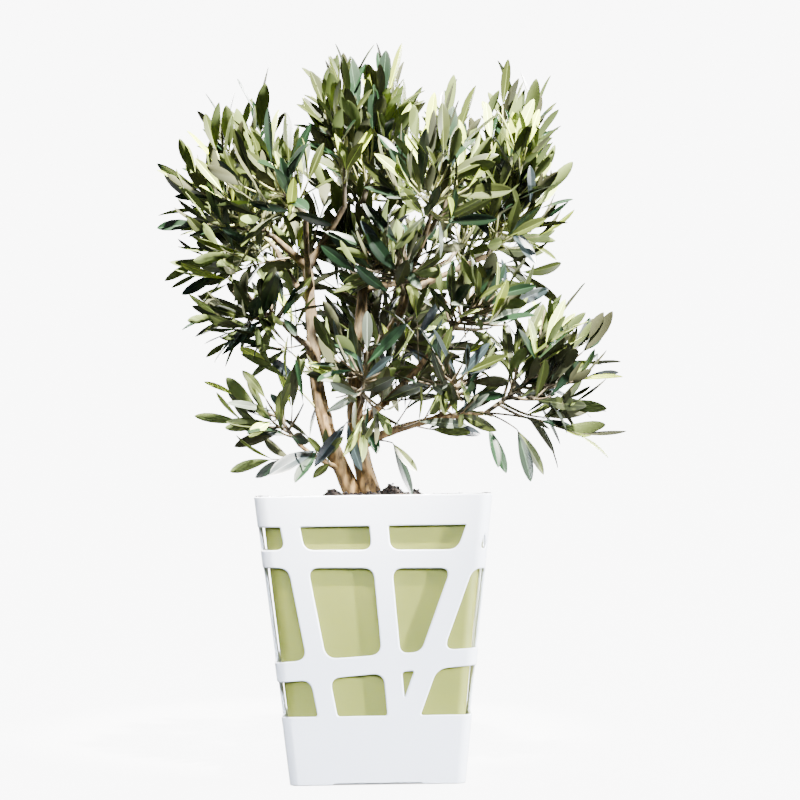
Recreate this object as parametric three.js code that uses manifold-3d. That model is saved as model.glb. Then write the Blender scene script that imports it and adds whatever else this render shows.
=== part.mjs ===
// A young olive tree in a square lattice planter, in millimetres, +Z up.
// The origin is the centre of the planter's underside, and the tree is seen from the front along +Y.
// Two stems rise out of the soil, boughs leave them, and each bough carries one mass of leafy twigs.
import * as THREE from "three";
import { mergeVertices } from "three/addons/utils/BufferGeometryUtils.js";
import Module from "manifold-3d";

const wasm = await Module();
wasm.setup();

// Driving sizes of the planter
const RIM = 292;
const TOP_HALF = 120;
const FOOT_HALF = 89;
const CORNER = 0.115; // corner radius as a share of the half width
const WALL = 3;
const FLOOR = 3;
const CLEAR = 0.3; // running gap between pieces that touch
const NOTCH = { half: 45, depth: 9, height: 1.6 }; // the shallow gap between two feet

// The lattice of one face: three leaning bars, given by the place of their centre lines at the
// height of the upper and the lower window edge, and bands between the rows of windows, given by
// the heights of each row's lower and upper edge at the left and the right corner. A row's
// windows have one corner radius below and one above.
const WINDOW_TOP = 261;
const WINDOW_FOOT = 70;
const BARS = [
  { top: -83.6, foot: -49.3, width: 20 },
  { top: 5.3, foot: 20.3, width: 19 },
  { top: 104, foot: 33, width: 22.5 },
];
const ROWS = [
  { low: [238.5, 236], high: [WINDOW_TOP, WINDOW_TOP], round: [10, 1.5] },
  { low: [125, 137.5], high: [220.5, 217], round: [12, 11] },
  { low: [WINDOW_FOOT, WINDOW_FOOT], high: [104.5, 119.5], round: [3, 11] },
];
const CROSSING_ROUND = [2, 3, 3]; // of the small triangle where two bars cross

// The liner pot and the soil
const LINER = { inset: 6.5, wall: 2, floor: 2.5, belowRim: 4 };
const SOIL_BELOW_RIM = 5;
const GROUND = 295; // the height of the trunk's flat cut, on top of the mound
const MOUND = { centre: [-4, -6], radius: 62, height: 9 };
const CLODS = [
  { at: [19, -14, 297], radius: 11 },
  { at: [-44, -20, 291], radius: 8 },
  { at: [44, 22, 290], radius: 9 },
];

// A stem or bough runs from its foot to its tip. Its bow is how far its middle stands off the
// straight line, and its sway how far a quarter of it does, one way and then the other.
const STEMS = {
  left_stem: {
    foot: [-23.5, -2, GROUND], tip: [-68, 0, 538], radii: [9.5, 5.4],
    bow: [-14, -4, 0], sway: [-3, 0, 0], flare: 3,
  },
  right_stem: {
    foot: [-4.5, -4, GROUND], tip: [-8, 14, 548], radii: [10.5, 4.8],
    bow: [-12, 6, 0], sway: [-4, 0, 0], flare: 3.5,
  },
};
const BOUGHS = {
  left_outer: { on: "left_stem", at: 0.99, tip: [-103, -12, 566], radii: [4, 3] },
  top_left: { on: "left_stem", at: 0.98, tip: [-27, -14, 597], radii: [3.8, 2.8] },
  left_mid: { on: "left_stem", at: 0.63, tip: [-94, -13, 474], radii: [3.4, 2.5], bow: [0, 0, -3] },
  left_low: { on: "left_stem", at: 0.1, tip: [-78, -22, 346], radii: [2.8, 2.1], bow: [0, -5, -3] },
  right_low: {
    on: "right_stem", at: 0.2, tip: [118, -16, 376], radii: [4.8, 2.6], bow: [0, -4, 7],
  },
  right_inner: { on: "right_low", at: 0.6, tip: [86, -42, 392], radii: [2.6, 2], bow: [0, -2, -3] },
  right_mid: {
    on: "right_stem", at: 0.27, tip: [76, -20, 456], radii: [4.4, 2.7], bow: [2, -4, -3],
  },
  centre_low: {
    on: "right_stem", at: 0.31, tip: [-10, -34, 390], radii: [3, 2.2], bow: [0, -3, -3],
  },
  crown: { on: "right_stem", at: 0.52, tip: [40, -4, 543], radii: [5.2, 4.6], bow: [16, 0, -6] },
  top_centre: { on: "crown", at: 0.98, tip: [-8, -10, 601], radii: [4.2, 3.2] },
  top_right: { on: "crown", at: 0.98, tip: [79, -8, 592], radii: [4.2, 3] },
  right_outer: { on: "crown", at: 0.72, tip: [124, 8, 545], radii: [3.8, 2.8] },
  front_left: {
    on: "left_stem", at: 0.9, tip: [-66, -72, 582], radii: [3.4, 2.5], bow: [0, -6, -6],
  },
  front_right: { on: "crown", at: 0.86, tip: [62, -76, 574], radii: [3.4, 2.5], bow: [0, -6, -6] },
  heart: { on: "right_stem", at: 0.78, tip: [-14, 44, 520], radii: [3, 2.2], bow: [0, 3, -4] },
  centre_high: { on: "crown", at: 0.4, tip: [34, -38, 502], radii: [3, 2.2], bow: [0, -3, -3] },
  back_left: {
    on: "left_stem", at: 0.84, tip: [-104, 74, 562], radii: [3.8, 2.7], bow: [0, 6, -6],
  },
  back_top: { on: "right_stem", at: 0.98, tip: [-4, 86, 604], radii: [4, 2.8] },
  back_right: {
    on: "right_stem", at: 0.86, tip: [84, 84, 548], radii: [3.8, 2.7], bow: [0, 6, -6],
  },
  back_low: { on: "right_stem", at: 0.5, tip: [6, 62, 455], radii: [3.4, 2.6], bow: [0, 3, -5] },
};

// Each mass of foliage stands on the bough of its name and fills an egg-shaped space round its
// centre, as far as its neighbours leave it room. Its shoots fan out towards the space's skin and
// turn upwards by its lift, and their leaves reach the skin.
const MASSES = {
  left_outer: { centre: [-143, -20, 591], reach: [80, 78, 130], shoots: 12, lift: 0.16 },
  top_left: { centre: [-25, -34, 676], reach: [44, 62, 86], shoots: 9, lift: 0.16 },
  left_mid: { centre: [-120, -24, 490], reach: [78, 66, 64], shoots: 9, lift: 0.1 },
  left_low: { centre: [-102, -30, 380], reach: [80, 56, 52], shoots: 7, lift: 0.08 },
  right_low: { centre: [182, -22, 420], reach: [84, 64, 100], shoots: 11, lift: 0.14 },
  right_inner: { centre: [82, -58, 410], reach: [76, 64, 48], shoots: 8, lift: 0.04 },
  right_mid: { centre: [112, -42, 490], reach: [78, 62, 66], shoots: 9, lift: 0.1 },
  centre_low: { centre: [-8, -60, 420], reach: [80, 58, 86], shoots: 9, lift: 0.06 },
  top_centre: { centre: [15, -26, 675], reach: [42, 62, 84], shoots: 8, lift: 0.16 },
  top_right: { centre: [84, -22, 638], reach: [58, 66, 84], shoots: 8, lift: 0.16 },
  right_outer: { centre: [151, -4, 604], reach: [62, 80, 142], shoots: 13, lift: 0.16 },
  front_left: { centre: [-92, -112, 602], reach: [70, 56, 70], shoots: 7, lift: 0.14 },
  front_right: { centre: [66, -116, 600], reach: [76, 54, 80], shoots: 8, lift: 0.16 },
  heart: { centre: [-6, 66, 556], reach: [92, 66, 80], shoots: 9, lift: 0.08 },
  centre_high: { centre: [26, -66, 532], reach: [74, 54, 66], shoots: 7, lift: 0.06 },
  back_left: { centre: [-124, 104, 586], reach: [80, 78, 98], shoots: 9, lift: 0.18 },
  back_top: { centre: [-2, 112, 648], reach: [80, 80, 88], shoots: 8, lift: 0.18 },
  back_right: { centre: [116, 102, 588], reach: [82, 78, 112], shoots: 9, lift: 0.2 },
  back_low: { centre: [6, 104, 478], reach: [108, 80, 92], shoots: 10, lift: 0.12 },
};

// Shoots and leaves
const GOLDEN_ANGLE = Math.PI * (3 - Math.sqrt(5));
const STEM_SHARE = 0.85; // how far a mass's stem runs on from the bough's tip towards the centre
const FAN = THREE.MathUtils.degToRad(140); // how far round the space's skin the shoots spread
const SHORT_OF_SKIN = 42; // a shoot ends this far inside the skin, and its last leaves go on to it
const PAST_SKIN = [4, 18]; // the least and most that a leaf may stand past the skin
const SHOOT = { foot: 1.9, tip: 1.3, least: 24 };
const NODE_GAP = 14; // between two pairs of leaves on a shoot
const KEPT_NODES = 2; // one pair in so many is made, larger than life
const FIRST_NODE = 0.14;
const LEAF = { length: 52, width: 14, root: 2.2, widest: 0.54, larger: 1.28 };
const SPREAD = [62, 26]; // degrees between leaf and shoot, at the shoot's foot and tip
const TURNS = 10; // how often a leaf that cuts across others is turned before it is left out
const SLIVER = 0.02; // edges shorter than this are merged away
const CELL_GAP = 0.6; // half the gap that two neighbouring masses keep
const LIMB_GAP = 1.2; // what twigs and leaves keep from a limb

const COLOURS = {
  planter: new THREE.MeshStandardMaterial({ color: 0xf1f2f4, roughness: 0.45, metalness: 0 }),
  liner: new THREE.MeshStandardMaterial({ color: 0xcbcb98, roughness: 0.5, metalness: 0 }),
  soil: new THREE.MeshStandardMaterial({ color: 0x2c2118, roughness: 1, metalness: 0 }),
  bark: new THREE.MeshStandardMaterial({ color: 0xa98d68, roughness: 0.9, metalness: 0 }),
  foliage: new THREE.MeshStandardMaterial({ color: 0x6f7a45, roughness: 0.55, metalness: 0 }),
};

const lerp = THREE.MathUtils.lerp;
const vector = (p) => new THREE.Vector3(...p);
const UP = new THREE.Vector3(0, 0, 1);

// A repeatable number from 0 to 1 for each set of whole numbers.
function chance(a, b = 0, c = 0) {
  const x = Math.sin(a * 127.1 + b * 311.7 + c * 74.7 + 11.3) * 43758.5453;
  return x - Math.floor(x);
}

// A closed three.js geometry as a solid.
function solidOf(geometry, near = 1e-4) {
  const g = geometry.clone();
  g.deleteAttribute("normal");
  g.deleteAttribute("uv");
  const merged = mergeVertices(g, near);
  return new wasm.Manifold(
    new wasm.Mesh({
      numProp: 3,
      vertProperties: new Float32Array(merged.attributes.position.array),
      triVerts: new Uint32Array(merged.index.array),
    }),
  );
}

// The largest body of a solid, with sealed hollows filled and loose scraps dropped.
function largestBody(solid) {
  const bodies = solid.decompose();
  return bodies.reduce((best, b) => (b.volume() > best.volume() ? b : best), bodies[0]);
}

// True if some edge, once its ends are rounded, isn't shared by just two faces.
function isPinched(solid) {
  const { vertProperties, triVerts } = solid.getMesh();
  const key = (v) => [0, 1, 2].map((k) => Math.round(vertProperties[3 * v + k] * 1e3)).join();
  const corners = Array.from(triVerts, key);
  const seen = new Map();
  for (let i = 0; i < corners.length; i += 3) {
    const face = corners.slice(i, i + 3);
    if (new Set(face).size < 3) continue;
    face.forEach((a, k) => {
      const b = face[(k + 1) % 3];
      const edge = a < b ? a + " " + b : b + " " + a;
      seen.set(edge, (seen.get(edge) ?? 0) + 1);
    });
  }
  return [...seen.values()].some((count) => count !== 2);
}

function geometryOf(solid) {
  const m = solid.getMesh();
  const g = new THREE.BufferGeometry();
  g.setAttribute("position", new THREE.BufferAttribute(new Float32Array(m.vertProperties), 3));
  g.setIndex(new THREE.BufferAttribute(new Uint32Array(m.triVerts), 1));
  return g;
}

// A named mesh with the faces of the solid's largest body, once slivers have been merged away.
function meshOf(name, solid, material) {
  const settled = largestBody(solidOf(geometryOf(solid.simplify(SLIVER)), 2e-3).simplify(SLIVER));
  const g = geometryOf(settled);
  g.computeVertexNormals();
  const mesh = new THREE.Mesh(g, material);
  mesh.name = name;
  return mesh;
}

// Moves every vertex of a geometry by a function of its position.
function reshape(geometry, move) {
  const p = geometry.attributes.position;
  const v = new THREE.Vector3();
  for (let i = 0; i < p.count; i++) {
    v.fromBufferAttribute(p, i);
    move(v);
    p.setXYZ(i, v.x, v.y, v.z);
  }
  return geometry;
}

const halfAt = (z) => lerp(FOOT_HALF, TOP_HALF, z / RIM);

// A square tub with round corners that follows the planter's taper, inset from its outside.
function tub(inset, low, high, cornerSteps = 4) {
  const r = CORNER;
  const shape = new THREE.Shape();
  shape.moveTo(1, -1 + r);
  shape.absarc(1 - r, 1 - r, r, 0, Math.PI / 2);
  shape.absarc(-1 + r, 1 - r, r, Math.PI / 2, Math.PI);
  shape.absarc(-1 + r, -1 + r, r, Math.PI, 1.5 * Math.PI);
  shape.absarc(1 - r, -1 + r, r, 1.5 * Math.PI, 2 * Math.PI);
  const block = new THREE.ExtrudeGeometry(shape, {
    depth: 1, steps: 1, curveSegments: cornerSteps, bevelEnabled: false,
  });
  return solidOf(
    reshape(block, (v) => {
      const z = lerp(low, high, v.z);
      const half = halfAt(z) - inset;
      v.set(v.x * half, v.y * half, z);
    }),
  );
}

// The straight line x = a + b z through a bar's edge, side being -1 for its left edge.
function barEdge(bar, side) {
  const slope = (bar.top - bar.foot) / (WINDOW_TOP - WINDOW_FOOT);
  const half = (side * bar.width) / 2;
  return (z) => bar.foot + half + slope * (z - WINDOW_FOOT);
}

// Where a bar's edge meets a row's edge, which runs straight from corner to corner of the face.
function meeting(edge, heights) {
  let z = (heights[0] + heights[1]) / 2;
  for (let i = 0; i < 4; i++) {
    const half = halfAt(z);
    z = lerp(heights[0], heights[1], (edge(z) + half) / (2 * half));
  }
  return new THREE.Vector2(edge(z), z);
}

// A closed outline with each corner rounded, by no more than a share of the shorter side.
function roundedShape(corners, radii) {
  const shape = new THREE.Shape();
  corners.forEach((corner, i) => {
    const before = corners[(i + corners.length - 1) % corners.length];
    const after = corners[(i + 1) % corners.length];
    const room = 0.4 * Math.min(corner.distanceTo(before), corner.distanceTo(after));
    const cut = Math.min(radii[i], room);
    const a = corner.clone().add(before.clone().sub(corner).setLength(cut));
    const b = corner.clone().add(after.clone().sub(corner).setLength(cut));
    if (i === 0) shape.moveTo(a.x, a.y);
    else shape.lineTo(a.x, a.y);
    shape.quadraticCurveTo(corner.x, corner.y, b.x, b.y);
  });
  shape.closePath();
  return shape;
}

// The outlines of all windows of one face. Those at the ends run on round the corner.
function windowShapes() {
  const beyond = 12;
  const edges = [
    (z) => -halfAt(z) - beyond,
    ...BARS.flatMap((bar) => [barEdge(bar, -1), barEdge(bar, 1)]),
    (z) => halfAt(z) + beyond,
  ];
  const shapes = [];
  for (const row of ROWS)
    for (let i = 0; i < edges.length; i += 2) {
      const [left, right] = [edges[i], edges[i + 1]];
      const corners = [
        meeting(left, row.low), meeting(right, row.low),
        meeting(right, row.high), meeting(left, row.high),
      ];
      if (corners[1].x > corners[0].x) {
        const [below, above] = row.round;
        shapes.push(roundedShape(corners, [below, below, above, above]));
        continue;
      }
      // two bars cross inside this row and leave a small triangle above their crossing
      let z = row.high[0];
      while (right(z) > left(z)) z -= 0.5;
      const crossing = new THREE.Vector2(left(z), z);
      shapes.push(roundedShape([crossing, corners[2], corners[3]], CROSSING_ROUND));
    }
  return shapes;
}

// The planter's windows as one cutter: each face's windows within its own quarter of the square,
// and every second face mirrored, so that the windows meet at the corners.
function windowCutter() {
  const quarter = new THREE.Shape([
    new THREE.Vector2(0, 0.2), new THREE.Vector2(-200.2, -200), new THREE.Vector2(200.2, -200),
  ]);
  const wedge = solidOf(
    new THREE.ExtrudeGeometry(quarter, { depth: RIM, steps: 1, bevelEnabled: false }),
  );
  const prisms = windowShapes().map((shape) =>
    solidOf(
      new THREE.ExtrudeGeometry(shape, {
        depth: 90, steps: 1, curveSegments: 2, bevelEnabled: false,
      }).rotateX(Math.PI / 2).translate(0, -60, 0),
    ),
  );
  const face = wasm.Manifold.union(prisms).intersect(wedge);
  const mirrored = face.mirror([1, 0, 0]);
  return wasm.Manifold.union(
    [face, mirrored, face, mirrored].map((windows, k) => windows.rotate([0, 0, 90 * k])),
  );
}

function planter() {
  const box = (x, y, z) => solidOf(new THREE.BoxGeometry(x, y, z));
  const notch = box(2 * NOTCH.half, 2 * NOTCH.depth, 2 * NOTCH.height);
  const notches = [0, 90, 180, 270].map((degrees) =>
    notch.translate([0, -FOOT_HALF, 0]).rotate([0, 0, degrees]),
  );
  const hollow = tub(WALL, FLOOR, RIM + 10);
  return tub(0, 0, RIM).subtract(hollow).subtract(windowCutter())
    .subtract(wasm.Manifold.union(notches));
}

const linerFoot = FLOOR + CLEAR;
const linerRim = RIM - LINER.belowRim;

function liner() {
  const hollow = tub(LINER.inset + LINER.wall, linerFoot + LINER.floor, linerRim + 10);
  return tub(LINER.inset, linerFoot, linerRim).subtract(hollow);
}

// The soil fills the liner and rises to a low mound, with a few clods on it, clear of the trunk.
function soil() {
  const inset = LINER.inset + LINER.wall + CLEAR;
  const surface = RIM - SOIL_BELOW_RIM;
  const body = tub(inset, linerFoot + LINER.floor + CLEAR, surface, 3);
  const mound = solidOf(
    reshape(new THREE.SphereGeometry(1, 12, 5), (v) => {
      const rough = 1 + 0.05 * Math.sin(5 * v.x + 3) * Math.cos(4 * v.y);
      v.set(v.x * MOUND.radius * rough, v.y * MOUND.radius * rough, v.z * MOUND.height);
    }),
  ).translate([...MOUND.centre, surface]);
  const clods = CLODS.map((clod, i) =>
    solidOf(
      reshape(new THREE.IcosahedronGeometry(clod.radius, 1), (v) =>
        v.multiplyScalar(1 + 0.12 * Math.sin(v.x + 2 * v.y + 3 * v.z + i)),
      ),
    ).translate(clod.at),
  );
  const room = bothStems(CLEAR).trimByPlane([0, 0, 1], GROUND - CLEAR);
  return largestBody(wasm.Manifold.union([body, mound, ...clods]).subtract(room));
}

// The point at share t of a limb's length.
function limbPoint(limb, t) {
  const p = limb.foot.clone().lerp(limb.tip, t);
  p.addScaledVector(limb.bow, Math.sin(Math.PI * t));
  return p.addScaledVector(limb.sway, Math.sin(2 * Math.PI * t));
}

const limbHeading = (limb, t) =>
  limbPoint(limb, t + 0.01).sub(limbPoint(limb, t - 0.01)).normalize();

// A limb's radius falls from foot to tip, and swells to the root flare at the ground.
function limbRadius(limb, t) {
  const height = Math.abs(limbPoint(limb, t).z - GROUND);
  return lerp(limb.radii[0], limb.radii[1], t) + limb.flare * Math.exp(-height / 14);
}

// A tapering round bar along a curve: a cylinder whose rings are carried along it.
function taperedBar(sides, steps, pointAt, headingAt, radiusAt) {
  const chord = pointAt(1).sub(pointAt(0)).normalize();
  const across = Math.abs(chord.x) < 0.5 ? new THREE.Vector3(1, 0, 0) : new THREE.Vector3(0, 1, 0);
  const bar = new THREE.CylinderGeometry(1, 1, 1, sides, steps);
  return reshape(bar, (v) => {
    const t = v.y + 0.5;
    const heading = headingAt(t);
    const side = new THREE.Vector3().crossVectors(heading, across).normalize();
    const other = new THREE.Vector3().crossVectors(side, heading);
    const [a, b] = [v.x, v.z];
    v.copy(pointAt(t));
    v.addScaledVector(side, a * radiusAt(t)).addScaledVector(other, b * radiusAt(t));
  });
}

// A limb as a solid, made thicker all over by extra, from share t0 to t1 of its length.
function limbSolid(limb, extra, t0, t1) {
  const at = (t) => lerp(t0, t1, t);
  return solidOf(
    taperedBar(
      limb.sides, limb.steps,
      (t) => limbPoint(limb, at(t)),
      (t) => limbHeading(limb, at(t)),
      (t) => limbRadius(limb, at(t)) + extra,
    ),
  );
}

function limbOf(spec, foot, sides, steps) {
  return {
    foot, tip: vector(spec.tip), radii: spec.radii, flare: spec.flare ?? 0, sides, steps,
    bow: vector(spec.bow ?? [0, 0, 0]), sway: vector(spec.sway ?? [0, 0, 0]),
  };
}

// All limbs by name, each bough starting on its parent's centre line.
const limbs = {};
for (const [name, spec] of Object.entries(STEMS))
  limbs[name] = limbOf(spec, vector(spec.foot), 9, 8);
for (const [name, spec] of Object.entries(BOUGHS))
  limbs[name] = limbOf(spec, limbPoint(limbs[spec.on], spec.at), 6, 4);

const lengthOf = (limb) => limb.foot.distanceTo(limb.tip);
const swollen = (limb, gap) => limbSolid(limb, gap, -0.05, 1 + gap / lengthOf(limb));

// Both stems in one, made thicker all over by extra, down to a little below the ground.
const bothStems = (extra) =>
  wasm.Manifold.union(
    Object.keys(STEMS).map((name) => limbSolid(limbs[name], extra, -0.05, 1)),
  );

// The trunk: both stems and their root flares in one piece, cut flat at the ground.
const trunk = () => largestBody(bothStems(0).trimByPlane([0, 0, 1], GROUND));

// Each bough, cut clear of the trunk and of the boughs made before it.
function boughs() {
  const made = new Map();
  let taken = wasm.Manifold.union(Object.keys(STEMS).map((name) => swollen(limbs[name], CLEAR)));
  for (const name of Object.keys(BOUGHS)) {
    made.set(name, largestBody(limbSolid(limbs[name], 0, 0, 1).subtract(taken)));
    taken = taken.add(swollen(limbs[name], CLEAR));
  }
  return { made, taken };
}

// The spaces that the masses keep to.
const spaces = Object.values(MASSES).map((mass) => ({
  centre: vector(mass.centre),
  reach: vector(mass.reach),
  weight: ((mass.reach[0] + mass.reach[1] + mass.reach[2]) / 3) ** 2,
}));

const pull = (space, p) => p.distanceToSquared(space.centre) - space.weight;

// True if a point is nearer to its own space than to any other, by their centres and sizes.
function ownSide(index, p) {
  return spaces.every(
    (space, k) =>
      k === index ||
      pull(space, p) - pull(spaces[index], p) >
        2 * CELL_GAP * space.centre.distanceTo(spaces[index].centre),
  );
}

// How far out a point lies in a space, 1 being its skin.
const depthIn = (space, p) => p.clone().sub(space.centre).divide(space.reach).length();

// Every limb as a row of straight cuts.
const limbChords = Object.values(limbs).flatMap((limb) => {
  const cuts = 8;
  return Array.from({ length: cuts }, (_, i) => ({
    line: new THREE.Line3(limbPoint(limb, i / cuts), limbPoint(limb, (i + 1) / cuts)),
    radius: limbRadius(limb, (i + 0.5) / cuts),
  }));
});

// True if a point comes within a gap of any limb.
function touchesLimb(p, gap) {
  const nearest = new THREE.Vector3();
  return limbChords.some(({ line, radius }) => {
    line.closestPointToPoint(p, true, nearest);
    return nearest.distanceTo(p) < radius + gap;
  });
}

// The shoots of a mass: where each leaves the stem, where it ends, and how it bends.
function shootsOf(mass, index) {
  const space = spaces[index];
  const bough = limbs[Object.keys(MASSES)[index]];
  const root = bough.tip.clone().addScaledVector(limbHeading(bough, 1), CLEAR);
  const heart = root.clone().lerp(space.centre, STEM_SHARE);
  const out = space.centre.clone().sub(root).normalize();
  const turn = new THREE.Quaternion().setFromUnitVectors(UP, out);
  const shoots = [];
  for (let i = 0; i < mass.shoots; i++) {
    const tilt = Math.acos(1 - ((i + 0.5) / mass.shoots) * (1 - Math.cos(FAN)));
    const around = i * GOLDEN_ANGLE + 6.28 * chance(index, 1);
    const way = new THREE.Vector3(
      Math.sin(tilt) * Math.cos(around), Math.sin(tilt) * Math.sin(around), Math.cos(tilt),
    ).applyQuaternion(turn);
    const foot = root.clone().lerp(heart, 0.97 - 0.8 * (i / mass.shoots));
    way.multiply(space.reach);
    const short = Math.min(SHORT_OF_SKIN / way.length(), 0.5);
    const reach = lerp(0.94, 1.06, chance(index, i, 2)) - short;
    const end = space.centre.clone().addScaledVector(way, reach);
    let share = 1;
    while (share > 0.2 && !ownSide(index, foot.clone().lerp(end, share + 0.04))) share -= 0.04;
    end.copy(foot.clone().lerp(end, share));
    const length = foot.distanceTo(end);
    if (length < SHOOT.least) continue;
    const bend = foot.clone().lerp(end, 0.55).addScaledVector(UP, -mass.lift * length);
    shoots.push({ number: i, foot, bend, end, length });
  }
  return { root, heart, shoots, stemRadius: bough.radii[1] };
}

function shootPoint(shoot, t) {
  const p = shoot.foot.clone().multiplyScalar((1 - t) ** 2);
  p.addScaledVector(shoot.bend, 2 * t * (1 - t));
  return p.addScaledVector(shoot.end, t * t);
}

function shootHeading(shoot, t) {
  const h = shoot.bend.clone().sub(shoot.foot).multiplyScalar(1 - t);
  return h.addScaledVector(shoot.end.clone().sub(shoot.bend), t).normalize();
}

const nodesOn = (shoot) => Math.floor((shoot.length * (1 - FIRST_NODE)) / NODE_GAP);

// One leaf: where it is fixed, the way it points, the way its upper face looks, and its length.
// Each pair stands at a right angle to the pair below it.
function leafAt(index, shoot, node, side, turn) {
  const t = 1 - ((nodesOn(shoot) - node) * NODE_GAP) / shoot.length;
  const heading = shootHeading(shoot, t);
  const key = shoot.number * 40 + node * 2 + side;
  const level = new THREE.Vector3().crossVectors(heading, UP);
  if (level.length() < 0.1) level.set(1, 0, 0);
  level.normalize();
  const roll = (node % 2) * (Math.PI / 2) + side * Math.PI + 0.7 * (chance(index, key, 3) - 0.5);
  const away = level.applyAxisAngle(heading, roll + shoot.number + 0.5 * turn);
  const spread = lerp(SPREAD[0], SPREAD[1], t) + 20 * (chance(index, key, 4) - 0.5);
  const angle = THREE.MathUtils.degToRad(spread);
  const way = heading.clone().multiplyScalar(Math.cos(angle)).addScaledVector(away, Math.sin(angle));
  way.z += 0.15;
  way.normalize();
  const face = heading.clone().addScaledVector(way, -heading.dot(way)).normalize();
  const length = LEAF.length * lerp(0.78, 1.14, chance(index, key, 5)) * lerp(1, 0.86, t);
  return { from: shootPoint(shoot, t), way, face, length, t };
}

// The sides and the tip of a leaf, its edges lying along across.
function leafCorners(leaf, across) {
  const length = leaf.length * LEAF.larger;
  const half = (LEAF.width / 2) * (length / LEAF.length);
  const at = (along, aside) =>
    leaf.from.clone().addScaledVector(leaf.way, along).addScaledVector(across, aside);
  const widest = LEAF.widest * length;
  return { left: at(widest, -half), right: at(widest, half), tip: at(length, 0) };
}

// A leaf's free part as a thin kite, to see whether it would cut across another.
function bladeOf(leaf) {
  const across = new THREE.Vector3().crossVectors(leaf.face, leaf.way);
  const { left, right, tip } = leafCorners(leaf, across);
  const root = leaf.from.clone().addScaledVector(leaf.way, 0.14 * leaf.length * LEAF.larger);
  const upper = root.clone().addScaledVector(leaf.face, LEAF.root / 2);
  const lower = root.clone().addScaledVector(leaf.face, -LEAF.root / 2);
  const faces = [
    [upper, left, tip], [upper, tip, right], [lower, tip, left], [lower, right, tip],
    [upper, lower, left], [upper, right, lower],
  ];
  return solidOf(new THREE.BufferGeometry().setFromPoints(faces.flat()));
}

// True if a leaf's whole outline keeps to its space and off the limbs.
function leafFits(index, leaf, past) {
  const space = spaces[index];
  const skin = 1 + past / Math.min(space.reach.x, space.reach.y, space.reach.z);
  const length = leaf.length * LEAF.larger;
  const half = (LEAF.width / 2) * (length / LEAF.length) + 0.5;
  const across = new THREE.Vector3().crossVectors(leaf.face, leaf.way);
  for (let i = 1; i <= 8; i++)
    for (const edge of [-1, 0, 1]) {
      const share = i / 8;
      const wide = share < LEAF.widest ? share / LEAF.widest : (1 - share) / (1 - LEAF.widest);
      const p = leaf.from.clone().addScaledVector(leaf.way, share * length);
      p.addScaledVector(across, edge * half * wide);
      if (!ownSide(index, p) || depthIn(space, p) > skin || touchesLimb(p, LIMB_GAP)) return false;
    }
  return true;
}

// A shoot and its leaves as one closed surface: a three-sided twig, with two rings of corners
// round each node and the face between them drawn out into an eight-faced leaf.
function shootSolid(shoot, pairs) {
  const half = LEAF.root / 2 / shoot.length;
  const stops = [0, 0.4 * shoot.reached];
  const lastPair = pairs.at(-1)?.t ?? 0;
  if (pairs[0]?.t < stops[1] + 3 * half) stops.pop();
  const rings = stops.map((t) => ({ t }));
  for (const pair of pairs) {
    const middle = Math.min(pair.t, shoot.reached - half);
    rings.push({ t: middle - half, leaves: pair.leaves }, { t: middle + half });
  }
  if (lastPair < shoot.reached - 3 * half) rings.push({ t: shoot.reached });
  const chord = shoot.end.clone().sub(shoot.foot).normalize();
  const across = Math.abs(chord.x) < 0.5 ? new THREE.Vector3(1, 0, 0) : new THREE.Vector3(0, 1, 0);
  for (const ring of rings) {
    const heading = shootHeading(shoot, ring.t);
    const side = new THREE.Vector3().crossVectors(heading, across).normalize();
    const other = new THREE.Vector3().crossVectors(side, heading);
    const radius = lerp(SHOOT.foot, SHOOT.tip, ring.t / shoot.reached);
    ring.outward = (angle) =>
      other.clone().multiplyScalar(Math.cos(angle)).addScaledVector(side, Math.sin(angle));
    ring.corners = [0, 1, 2].map((k) =>
      shootPoint(shoot, ring.t).addScaledVector(ring.outward((k * 2 * Math.PI) / 3), radius),
    );
  }
  const faces = [[...rings[0].corners].reverse(), rings.at(-1).corners];
  for (let r = 0; r + 1 < rings.length; r++) {
    const [low, high] = [rings[r], rings[r + 1]];
    const free = [0, 1, 2];
    const grown = new Map();
    for (const leaf of low.leaves ?? []) {
      const facing = (k) => low.outward(((k + 0.5) * 2 * Math.PI) / 3).dot(leaf.way);
      free.sort((k, m) => facing(m) - facing(k));
      if (facing(free[0]) > 0.15) grown.set(free.shift(), leaf);
    }
    for (let k = 0; k < 3; k++) {
      const [a, b] = [low.corners[k], low.corners[(k + 1) % 3]];
      const [d, c] = [high.corners[k], high.corners[(k + 1) % 3]];
      const leaf = grown.get(k);
      if (!leaf) {
        faces.push([a, b, c], [a, c, d]);
        continue;
      }
      const edge = b.clone().sub(a);
      edge.addScaledVector(leaf.way, -edge.dot(leaf.way)).normalize();
      const { left, right, tip } = leafCorners(leaf, edge);
      faces.push(
        [a, b, tip], [b, right, tip], [a, tip, left], [c, d, tip],
        [d, left, tip], [c, tip, right], [b, c, right], [d, a, left],
      );
    }
  }
  return solidOf(new THREE.BufferGeometry().setFromPoints(faces.flat()));
}

// How much of a shoot stays off the limbs, as a share of its length.
function reachedBy(shoot) {
  let reached = 1;
  for (let t = 1; t > 0.25; t -= 0.05)
    if (touchesLimb(shootPoint(shoot, t), SHOOT.foot + LIMB_GAP)) reached = t - 0.05;
  return reached;
}

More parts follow.
